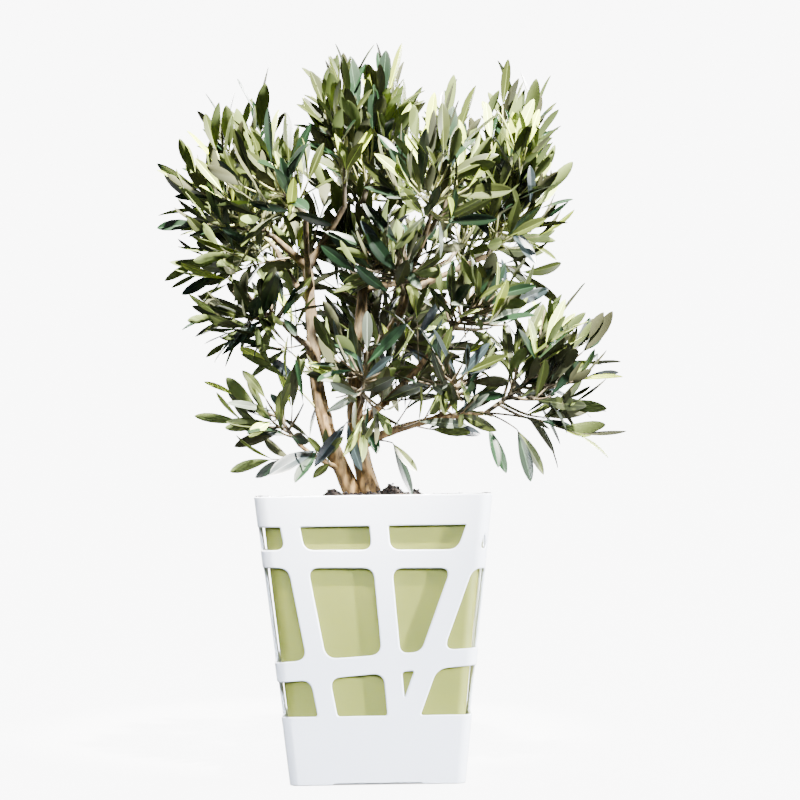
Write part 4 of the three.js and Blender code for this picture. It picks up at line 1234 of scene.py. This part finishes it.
def grown(leaf):
    """All twigs and leaves. Each mass has the stem that runs on from its bough, shoots with pairs
    of leaves, and side shoots with smaller pairs, and then come the single sprigs. The numbers
    that are added to a twig's own keep its draws apart from the others'. Gives for each twig its
    foot, bend and end, its two radii and its mix, and the rows of all leaves."""
    wood, leaves = [], []
    for index, name in enumerate(MASS_NAMES):
        _, _, count, _, mix = MASSES[name]
        root, heart, shoots = shoots_of(index, count, 0, 1)
        finer = shoots_of(index, round(FINER[mix] * count), RISE[mix], 8)[2]
        shoots += [(i + 50, twig, length) for i, twig, length in finer]
        for j, twig, length in side_twigs(index) if name in LEAFY_BOUGHS else ():
            wood.append((twig, BOUGH_TWIG["radii"], mix))
            leaves.append(leaves_on(index, 900 + j, twig, length, leaf, BOUGH_TWIG, mix, False))
        bough = LIMBS[name]
        stem = (bough["tip"] - unit(heart - root) * 2, (root + heart) / 2, heart)
        wood.append((stem, (bough["radii"][1], SHOOT["radii"][0]), "shaded"))
        for i, twig, length in shoots:
            sprays = [(i, twig, length, SHOOT)]
            for j in range(int(length * 0.8 / (leaf.pair_gap / MM))):
                found = side_shoot(index, i, j, twig, length, leaf, RISE[mix])
                if found:
                    sprays.append((i * 20 + j + 7, *found, SIDE_SHOOT))
            for key, line, span, rank in sprays:
                wood.append((line, rank["radii"], mix))
                leaves.append(leaves_on(index, key, line, span, leaf, rank, mix))
    for n, (parent, share, tip, mix) in enumerate(SPRIGS):
        foot, end = limb_point(LIMBS[parent], share), np.array(tip, float)
        length = np.linalg.norm(end - foot)
        sprig = (foot, (foot + end) / 2 + UP * 0.1 * length, end)
        rank = HANGING_SPRIG if mix == "hanging" else SPRIG
        wood.append((sprig, rank["radii"], mix))
        leaves.append(leaves_on(40 + n, n, sprig, length, leaf, rank, mix, False))
    twigs, radii, mixes = zip(*wood)
    return np.array(twigs), np.array(radii), mixes, np.concatenate(leaves)


def twig_mesh(twigs, radii, sides=5, rings=9):
    """All twigs at once, as tubes along their curves: they taper from foot to tip, swell and
    shrink a little from ring to ring, and are closed to a point at both ends."""
    t = np.linspace(0, 1, rings)
    line = [twigs[:, k, None] for k in range(3)]
    centre = curve_point(line, t[None])
    heading = curve_heading(line, t[None])
    side, other = frames_along(heading)
    angle = np.linspace(0, TURN, sides, endpoint=False)
    ring = other[:, :, None] * np.cos(angle)[:, None] + side[:, :, None] * np.sin(angle)[:, None]
    taper = radii[:, :1] + (radii[:, 1:] - radii[:, :1]) * t
    uneven = 1 + 0.16 * (chance(np.arange(len(twigs))[:, None], np.arange(rings)[None], 61) - 0.5)
    points = centre[:, :, None] + ring * (taper * uneven)[..., None, None]
    tips = centre[:, -1] + heading[:, -1] * radii[:, 1:] * 1.5
    feet = centre[:, 0] - heading[:, 0] * 0.5
    table = np.concatenate([points.reshape(len(twigs), -1, 3), tips[:, None], feet[:, None]], 1)
    size = table.shape[1]
    rows = np.arange(rings * sides).reshape(rings, sides)
    quads = strips(rows, True)
    near, far = rows[0], rows[-1]
    caps = np.concatenate([
        np.stack([far, np.roll(far, -1), np.full(sides, size - 2)], 1),
        np.stack([np.roll(near, -1), near, np.full(sides, size - 1)], 1),
    ])
    offset = (np.arange(len(twigs)) * size)[:, None, None]
    return table.reshape(-1, 3), [(quads + offset).reshape(-1, 4), (caps + offset).reshape(-1, 3)]


def leaf_mesh(rows, leaf):
    """Leaves as thin closed shells. Along a leaf, at share u, its half width is the stalk's up to
    u = 0.05 and then grows as s (1 - s)^0.72, s being the share of the blade. The blade bends
    back as u², turns a little aside as u², and twists as u. Across a half, at share o from the
    midrib to the margin, it rises as fold (1.5 o - 0.8 o²), so that the margin rolls down. The
    under side runs straight from the margins to a keel half a millimetre below the midrib. Gives
    the points, the faces and the number of each face's material."""
    base, way, face, size, own = rows[:, :3], rows[:, 3:6], rows[:, 6:9], rows[:, 9], rows[:, 11]
    draws = [chance(own * 997, k, 1) for k in range(6)]
    face = unit(face - way * (face * way).sum(1, keepdims=True))
    across = np.cross(face, way)
    u = LEAF_ROWS
    blade = np.clip((u - STALK) / (1 - STALK), 0, 1)
    profile = blade * (1 - blade) ** 0.72
    profile = profile / profile.max()
    share = leaf.width / leaf.length * (0.85 + 0.4 * own)
    half = np.maximum(0.5 * share[:, None] * size[:, None] * profile, STALK_HALF)
    half[:, -1] = TIP_HALF
    fold = leaf.fold * (0.5 + 1.1 * draws[1])
    curl = leaf.curl * (-0.25 + 1.25 * draws[2])
    swing = 0.16 * (draws[3] - 0.5)
    twist = (1.1 * (draws[4] - 0.5))[:, None] * u
    middle = base[:, None] + way[:, None] * (size[:, None] * u)[..., None]
    middle = middle - face[:, None] * (curl[:, None] * size[:, None] * u**2)[..., None]
    middle = middle + across[:, None] * (swing[:, None] * size[:, None] * u**2)[..., None]
    c, s = np.cos(twist)[..., None], np.sin(twist)[..., None]
    aside = across[:, None] * c + face[:, None] * s
    lifted = face[:, None] * c - across[:, None] * s
    rib = np.minimum(0.6 * (1 - 0.6 * u)[None] / half, 0.3)
    columns = []
    for o, keel in ((-1, 0), (-0.6, 0), (-rib, 0), (rib, 0), (0.6, 0), (1, 0), (0, 0.5)):
        rise = half * fold[:, None] * (1.5 * np.abs(o) - 0.8 * np.square(o))
        rise = rise - keel * np.minimum(half, 1)  # shallower where the leaf is narrow
        columns.append(middle + aside * (half * o)[..., None] + lifted * rise[..., None])
    points = np.stack(columns, 2)
    rings, sides = len(u), len(columns)
    n = np.arange(rings * sides).reshape(rings, sides)
    # the upper side's two halves, darker on some leaves as painted shade, the rib, and the under
    # side
    deep = (draws[5] < leaf.painted_shade_share)[:, None]
    one = np.where(deep, [3, 3, 1, 3, 3, 2, 2], [0, 0, 1, 0, 0, 2, 2])
    kinds = np.tile(one, (1, rings - 1)).ravel()
    ends = np.stack([n[0, ::-1], n[-1]])
    offset = (np.arange(len(rows)) * rings * sides)[:, None, None]
    groups = [(strips(n, True) + offset).reshape(-1, 4), (ends + offset).reshape(-1, sides)]
    return points.reshape(-1, 3), groups, np.concatenate([kinds, np.full(2 * len(rows), 2)])


# Settings


def a_length(title, text, default, least=0.0):
    """The setting for a length in metres, with the least that it may be."""
    return FloatProperty(name=title, description=text, default=default, min=least, unit="LENGTH")


def a_share(title, text, default):
    """The setting for a share from 0 to 1."""
    return FloatProperty(
        name=title, description=text, default=default, min=0, max=1, subtype="FACTOR"
    )


def a_colour(title, text, code):
    """The setting for a colour, its default an sRGB hex value."""
    return FloatVectorProperty(
        name=title, description=text, default=linear(code), size=3, min=0, max=1, subtype="COLOR"
    )


def a_power(title, text, default):
    """The setting for a light's power in watts."""
    return FloatProperty(name=title, description=text, default=default, min=0, unit="POWER")


def an_angle(title, text, degrees):
    """The setting for an angle."""
    return FloatProperty(
        name=title, description=text, default=math.radians(degrees), subtype="ANGLE"
    )


class OlivePlanterSettings(bpy.types.PropertyGroup):
    """Sizes and colours of the planter, its liner and the soil"""

    rim_height: a_length(
        "Rim height", "Height of the planter's rim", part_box("planter_cover")[1].z, 0.1
    )
    top_width: a_length(
        "Top width", "Width across the rim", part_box("planter_cover")[1].x * 2, 0.05
    )
    foot_width: a_length("Foot width", "Width across the foot", 0.178, 0.05)
    wall: a_length("Wall", "Thickness of the cover's wall", 0.003, 0.001)
    edge_radius: a_length(
        "Edge radius", "Rounding of the rim and of the window edges", 0.0014, 0.0001
    )
    cover_colour: a_colour("Cover", "Colour of the white cover", "#ecf1fa")
    liner_colour: a_colour("Liner", "Colour of the liner pot", "#7d8236")
    soil_colour: a_colour("Soil", "Colour of the damp potting soil", "#19110a")
    crumbs: IntProperty(
        name="Crumbs", description="Number of loose crumbs on the soil", default=2400, min=0
    )


class OliveBarkSettings(bpy.types.PropertyGroup):
    """Relief and colours of the bark"""

    relief: a_length("Relief", "Depth of the furrows in the bark", 0.0003)
    light: a_colour("Light bark", "Colour of the dry outer bark", "#83663a")
    dark: a_colour("Dark bark", "Colour in the furrows", "#33230f")
    green_twig: a_colour("Green twigs", "Colour of this year's shoots in the sun", "#868858")
    twig: a_colour("Brown twigs", "Colour of the older and shaded twigs", "#514733")


class OliveLeafSettings(bpy.types.PropertyGroup):
    """Sizes and colours of the leaves"""

    length: a_length("Length", "Length of a middling leaf with its stalk", 0.064, 0.01)
    width: a_length("Width", "Width of a middling leaf", 0.0138, 0.002)
    pair_gap: a_length("Pair gap", "Distance between pairs of leaves on a shoot", 0.0205, 0.004)
    branching: a_share("Branching", "How often a side shoot leaves a pair of leaves", 0.55)
    fold: a_share("Fold", "Slope of the two halves up from the midrib", 0.38)
    curl: a_share("Curl", "How far the tip bends back, as a share of the length", 0.16)
    # the share of leaves whose upper side is a darker copy of its colour, a painted shade
    painted_shade_share: a_share(
        "Deep share", "Share of the leaves whose upper side has a deeper tone", 0.4
    )
    olive: a_colour("Olive", "Upper side of most leaves", "#2d3513")
    pale: a_colour("Pale", "Upper side of pale leaves", "#8a9850")
    dark: a_colour("Dark", "Upper side of old dark leaves", "#0c200f")
    # the dark kind is partly the real deep green of old leaves and partly painted shade, dealt more
    # to shaded masses and inside the crown
    blue: a_colour("Blue green", "Upper side of blue-green leaves", "#172123")
    dusty: a_colour("Dusty", "Upper side of dusty grey leaves", "#454d43")
    young: a_colour("Young", "Upper side of young yellow-green leaves", "#94a43e")
    under: a_colour("Under side", "Silvery under side of young leaves", "#4b5829")
    # darker than the silver under side: partly real browning with age, partly painted shade
    old_and_shaded_under: a_colour("Old under side", "Browner under side of old leaves", "#33361f")


class OliveStageSettings(bpy.types.PropertyGroup):
    """Floor, light and camera"""

    floor_colour: a_colour("Floor", "Colour of the floor and backdrop under their glow", "#3a3b3c")
    glow: FloatProperty(
        name="Floor glow", description="How brightly the floor and backdrop shine of themselves",
        default=8.6, min=0,
    )
    fill: FloatProperty(
        name="Fill", description="Brightness of the surroundings", default=0.1, min=0
    )
    crown_power: a_power("Crown spot", "Power of the spot high in front, on the crown", 14500)
    planter_power: a_power("Planter spot", "Power of the soft spot on the planter", 1220)
    key_power: a_power("Key softbox", "Power of the softbox on the right", 700)
    front_power: a_power("Front softbox", "Power of the softbox over the camera", 10)
    left_power: a_power("Left reflector", "Power of the reflector on the left", 35)
    back_power: a_power("Back softboxes", "Power of each of the two softboxes behind", 450)
    camera_place: FloatVectorProperty(
        name="Camera place", description="Where the camera stands",
        subtype="TRANSLATION", unit="LENGTH", size=3, default=(0.0285, -2.2, 0.298),
    )
    camera_pitch: an_angle("Camera pitch", "How far the camera looks up", 2.44)
    camera_roll: an_angle("Camera roll", "How far the camera leans to the right", 0.9)
    lens: FloatProperty(
        name="Lens", description="Focal length on a 36 mm sensor, in millimetres",
        default=93.6, min=10, subtype="DISTANCE_CAMERA",
    )


# Operators


def smooth_edges(made, degrees):
    """Keeps edges sharper than an angle sharp, and lets large faces set the shading."""
    made.data.set_sharp_from_angle(angle=math.radians(degrees))
    made.modifiers.new("Weighted normals", "WEIGHTED_NORMAL").keep_sharp = True


class OLIVE_OT_cover(bpy.types.Operator):
    """Make the lattice cover with its rounded window edges"""

    bl_idname = "olive.cover"
    bl_label = "Cover"

    def execute(self, context):
        sizes = context.scene.olive_planter
        points, groups = cover_mesh(sizes)
        colour = tuple(sizes.cover_colour)
        # an even satin white with a soft wide highlight
        skin = moulded_plastic("white_moulded_polypropylene", colour, 0.42, 1.4, 0.015)
        made = piece("lattice_cover", points, groups, [skin], ["planter_cover"])
        smooth_edges(made, PLASTIC_CREASE)
        return {"FINISHED"}


class OLIVE_OT_liner(bpy.types.Operator):
    """Make the plain liner pot that shows through the windows"""

    bl_idname = "olive.liner"
    bl_label = "Liner"

    def execute(self, context):
        sizes = context.scene.olive_planter
        points, groups = liner_mesh(sizes)
        skin = liner_plastic(tuple(sizes.liner_colour))
        made = piece("inner_liner", points, groups, [skin], ["liner_pot"])
        smooth_edges(made, PLASTIC_CREASE)
        return {"FINISHED"}


class OLIVE_OT_soil(bpy.types.Operator):
    """Make the potting soil with its crumbs"""

    bl_idname = "olive.soil"
    bl_label = "Soil"

    def execute(self, context):
        sizes = context.scene.olive_planter
        material = potting_soil(tuple(sizes.soil_colour))
        points, groups = soil_mesh(sizes)
        piece("potting_soil", points, groups, [material], ["soil"])
        places, across = crumb_places(sizes)
        points, groups = lumps_mesh(places, across, 72)
        piece("soil_crumbs", points, groups, [material], ["soil"])
        return {"FINISHED"}


class OLIVE_OT_bark(bpy.types.Operator):
    """Make the two stems and the boughs with their bark"""

    bl_idname = "olive.bark"
    bl_label = "Stems and boughs"

    def execute(self, context):
        bark = context.scene.olive_bark
        material = young_bark(tuple(bark.light), tuple(bark.dark))
        parts = []
        for number, (name, one) in enumerate(LIMBS.items()):
            sides, rings, start = STEM_MESH if name in STEMS else BOUGH_MESH
            parts.append(bark_tube(one, number * 7, sides, rings, start, bark.relief / MM))
        points, groups = joined(parts)
        nodes = ["trunk"] + ["bough_" + name for name in BOUGHS]
        piece("bark_limbs", points, groups, [material], nodes)
        return {"FINISHED"}


class OLIVE_OT_foliage(bpy.types.Operator):
    """Grow the twigs and the leaves on from the boughs"""

    bl_idname = "olive.foliage"
    bl_label = "Twigs and leaves"

    def execute(self, context):
        leaf, bark = context.scene.olive_leaf, context.scene.olive_bark
        twigs, radii, mixes, rows = grown(leaf)
        nodes = ["foliage_" + name for name in MASSES]
        # bark is yellow green in its first year and then grey brown; the pale green goes to the
        # twigs of the sunny masses and the dark brown to the rest, so this is partly real and
        # partly painted light and shade
        sunny = np.array([mix in ("sunny", "fresh") for mix in mixes])
        for name, colour, these in (
            ("green_twigs", bark.green_twig, sunny), ("brown_twigs", bark.twig, ~sunny),
        ):
            points, groups = twig_mesh(twigs[these], radii[these])
            piece(name, points, groups, [twig_bark(name, tuple(colour))], nodes)
        # scales on the under side are silver at first and browner with age; the darker brown one is
        # partly painted shade
        silver = leaf_surface("silver_felted_under_side", leaf.under, 0.8, 1.4)
        brown = leaf_surface("brown_felted_under_side", leaf.old_and_shaded_under, 0.8, 1.4)
        for k, kind in enumerate(LEAF_KINDS):
            colour = tuple(getattr(leaf, kind))
            points, groups, indices = leaf_mesh(rows[rows[:, 10] == k], leaf)
            skins = [
                leaf_surface(f"waxy_{kind}_leaf", colour, 0.38),
                leaf_surface(f"pale_midrib_of_{kind}_leaf", shade(colour, RIB_TONE), 0.5),
                brown if kind in OLD_AND_SHADED_KINDS else silver,
                # a darker copy of the upper side: painted shade on some leaves
                leaf_surface(f"deep_toned_{kind}_leaf", shade(colour, PAINTED_SHADE_TONE), 0.34),
            ]
            made = piece(f"leaves_{kind}", points, groups, skins, nodes, indices)
            made.data.set_sharp_from_angle(angle=math.radians(LEAF_CREASE))
        return {"FINISHED"}


def light_table(stage):
    """Pale acrylic lit from below, as product tables are: it shines evenly by itself, so that it
    looks nearly white. Ambient occlusion dims its glow near the planter's foot and in the narrow
    gap under it: a painted contact shadow."""
    material, tree, shader = new_material(
        "pale_acrylic_light_table", base_color=(*stage.floor_colour, 1), roughness=0.95,
        emission_color=(1, 1, 1, 1), emission_strength=stage.glow,
    )
    # painted contact shadow: the glow drops where ambient occlusion finds the planter close
    near = node(tree, "ShaderNodeAmbientOcclusion", distance=0.02)
    glow_with_painted_shadow = node(
        tree, "ShaderNodeMapRange", {"Value": near.outputs["AO"]},
        from_min=0.1, from_max=0.45, to_min=0.1 * stage.glow, to_max=stage.glow,
    )
    tree.links.new(glow_with_painted_shadow.outputs["Result"], shader.inputs["Emission Strength"])
    return material


def backdrop(material):
    """A floor that curves up into a backdrop: a line that runs back, turns up by a quarter circle
    and rises, carried across from left to right."""
    turn = np.linspace(0, math.pi / 2, 24)
    bend, back = BACKDROP["bend"], BACKDROP["back"]
    y = np.concatenate([[-BACKDROP["front"], back], back + bend * np.sin(turn), [back + bend]])
    z = np.concatenate([[0, 0], bend - bend * np.cos(turn), [BACKDROP["top"]]])
    line = np.stack([0 * y, y, z], 1)
    aside = np.array([BACKDROP["half"], 0, 0])
    points = np.concatenate([line - aside, line + aside])
    left, right = np.arange(len(points)).reshape(2, -1)
    faces = np.stack([left[:-1], right[:-1], right[1:], left[1:]], 1)
    mesh = bpy.data.meshes.new("floor")
    mesh.from_pydata((points * MM).tolist(), [], faces.tolist())
    mesh.polygons.foreach_set("use_smooth", np.ones(len(faces), bool))
    mesh.materials.append(material)
    floor = bpy.data.objects.new("floor", mesh)
    bpy.context.scene.collection.objects.link(floor)
    floor.visible_diffuse = False
    floor.visible_glossy = False
    return floor


def surroundings(stage):
    """A world that is dim as a light, but as pale as the floor where the camera looks past it."""
    world = bpy.data.worlds.new("pale_surroundings")
    world.use_nodes = True
    tree = world.node_tree
    background = tree.nodes["Background"]
    background.inputs["Color"].default_value = (*linear("#e6eefb"), 1)
    seen = node(tree, "ShaderNodeLightPath").outputs["Is Camera Ray"]
    strength = node(
        tree, "ShaderNodeMapRange", {"Value": seen}, to_min=stage.fill, to_max=stage.glow
    )
    tree.links.new(strength.outputs["Result"], background.inputs["Strength"])
    return world


def aimed(name, data, place, target):
    """A light at a place, turned to look at a target."""
    made = bpy.data.objects.new(name, data)
    bpy.context.scene.collection.objects.link(made)
    turn = (Vector(target) - Vector(place)).to_track_quat("-Z", "Y")
    made.matrix_world = Matrix.Translation(place) @ turn.to_matrix().to_4x4()
    return made


class OLIVE_OT_stage(bpy.types.Operator):
    """Set up the floor, the light and the camera"""

    bl_idname = "olive.stage"
    bl_label = "Stage"

    def execute(self, context):
        stage = context.scene.olive_stage
        floor = backdrop(light_table(stage))
        for name, power, width, place in SOFTBOXES:
            light = bpy.data.lights.new(name, "AREA")
            light.energy, light.shape, light.size = getattr(stage, power), "DISK", width
            aimed(name, light, place, (0, 0, 0.4)).visible_camera = False
        for name, power, radius, cone, blend, tint, place, target in SPOTS:
            light = bpy.data.lights.new(name, "SPOT")
            light.energy, light.shadow_soft_size = getattr(stage, power), radius
            light.spot_size, light.spot_blend = math.radians(cone), blend
            light.color = linear(tint)
            aimed(name, light, place, target)
        context.scene.world = surroundings(stage)

        camera = bpy.data.cameras.new("camera")
        camera.lens, camera.sensor_width = stage.lens, 36
        view = bpy.data.objects.new("camera", camera)
        context.scene.collection.objects.link(view)
        view.matrix_world = (
            Matrix.Translation(stage.camera_place)
            @ Matrix.Rotation(math.pi / 2 + stage.camera_pitch, 4, "X")
            @ Matrix.Rotation(-stage.camera_roll, 4, "Z")
        )
        context.scene.camera = view
        return {"FINISHED"}


PIECES = (OLIVE_OT_cover, OLIVE_OT_liner, OLIVE_OT_soil, OLIVE_OT_bark, OLIVE_OT_foliage)
SETTINGS = {
    "olive_planter": OlivePlanterSettings,
    "olive_bark": OliveBarkSettings,
    "olive_leaf": OliveLeafSettings,
    "olive_stage": OliveStageSettings,
}


class OLIVE_PT_panel(bpy.types.Panel):
    """Sizes, colours and pieces of the potted olive tree"""

    bl_label = "Potted Olive Tree"
    bl_idname = "OLIVE_PT_panel"
    bl_space_type = "VIEW_3D"
    bl_region_type = "UI"
    bl_category = "Olive"

    def draw(self, context):
        for name, group in SETTINGS.items():
            box = self.layout.box()
            box.label(text=group.__doc__)
            for field in group.__annotations__:
                box.prop(getattr(context.scene, name), field)
        for operator in (*PIECES, OLIVE_OT_stage):
            self.layout.operator(operator.bl_idname)


CLASSES = (*SETTINGS.values(), *PIECES, OLIVE_OT_stage, OLIVE_PT_panel)


def register():
    """Registers the classes and hangs the settings on the scene."""
    for cls in CLASSES:
        bpy.utils.register_class(cls)
    for name, group in SETTINGS.items():
        setattr(bpy.types.Scene, name, PointerProperty(type=group))


def unregister():
    """Takes the settings off the scene and the classes out again."""
    for name in SETTINGS:
        delattr(bpy.types.Scene, name)
    for cls in reversed(CLASSES):
        bpy.utils.unregister_class(cls)


def main():
    """Registers the add-on and makes every piece and the stage."""
    register()
    for operator in (*PIECES, OLIVE_OT_stage):
        group, name = operator.bl_idname.split(".")
        getattr(getattr(bpy.ops, group), name)()


if __name__ == "__main__":
    main()
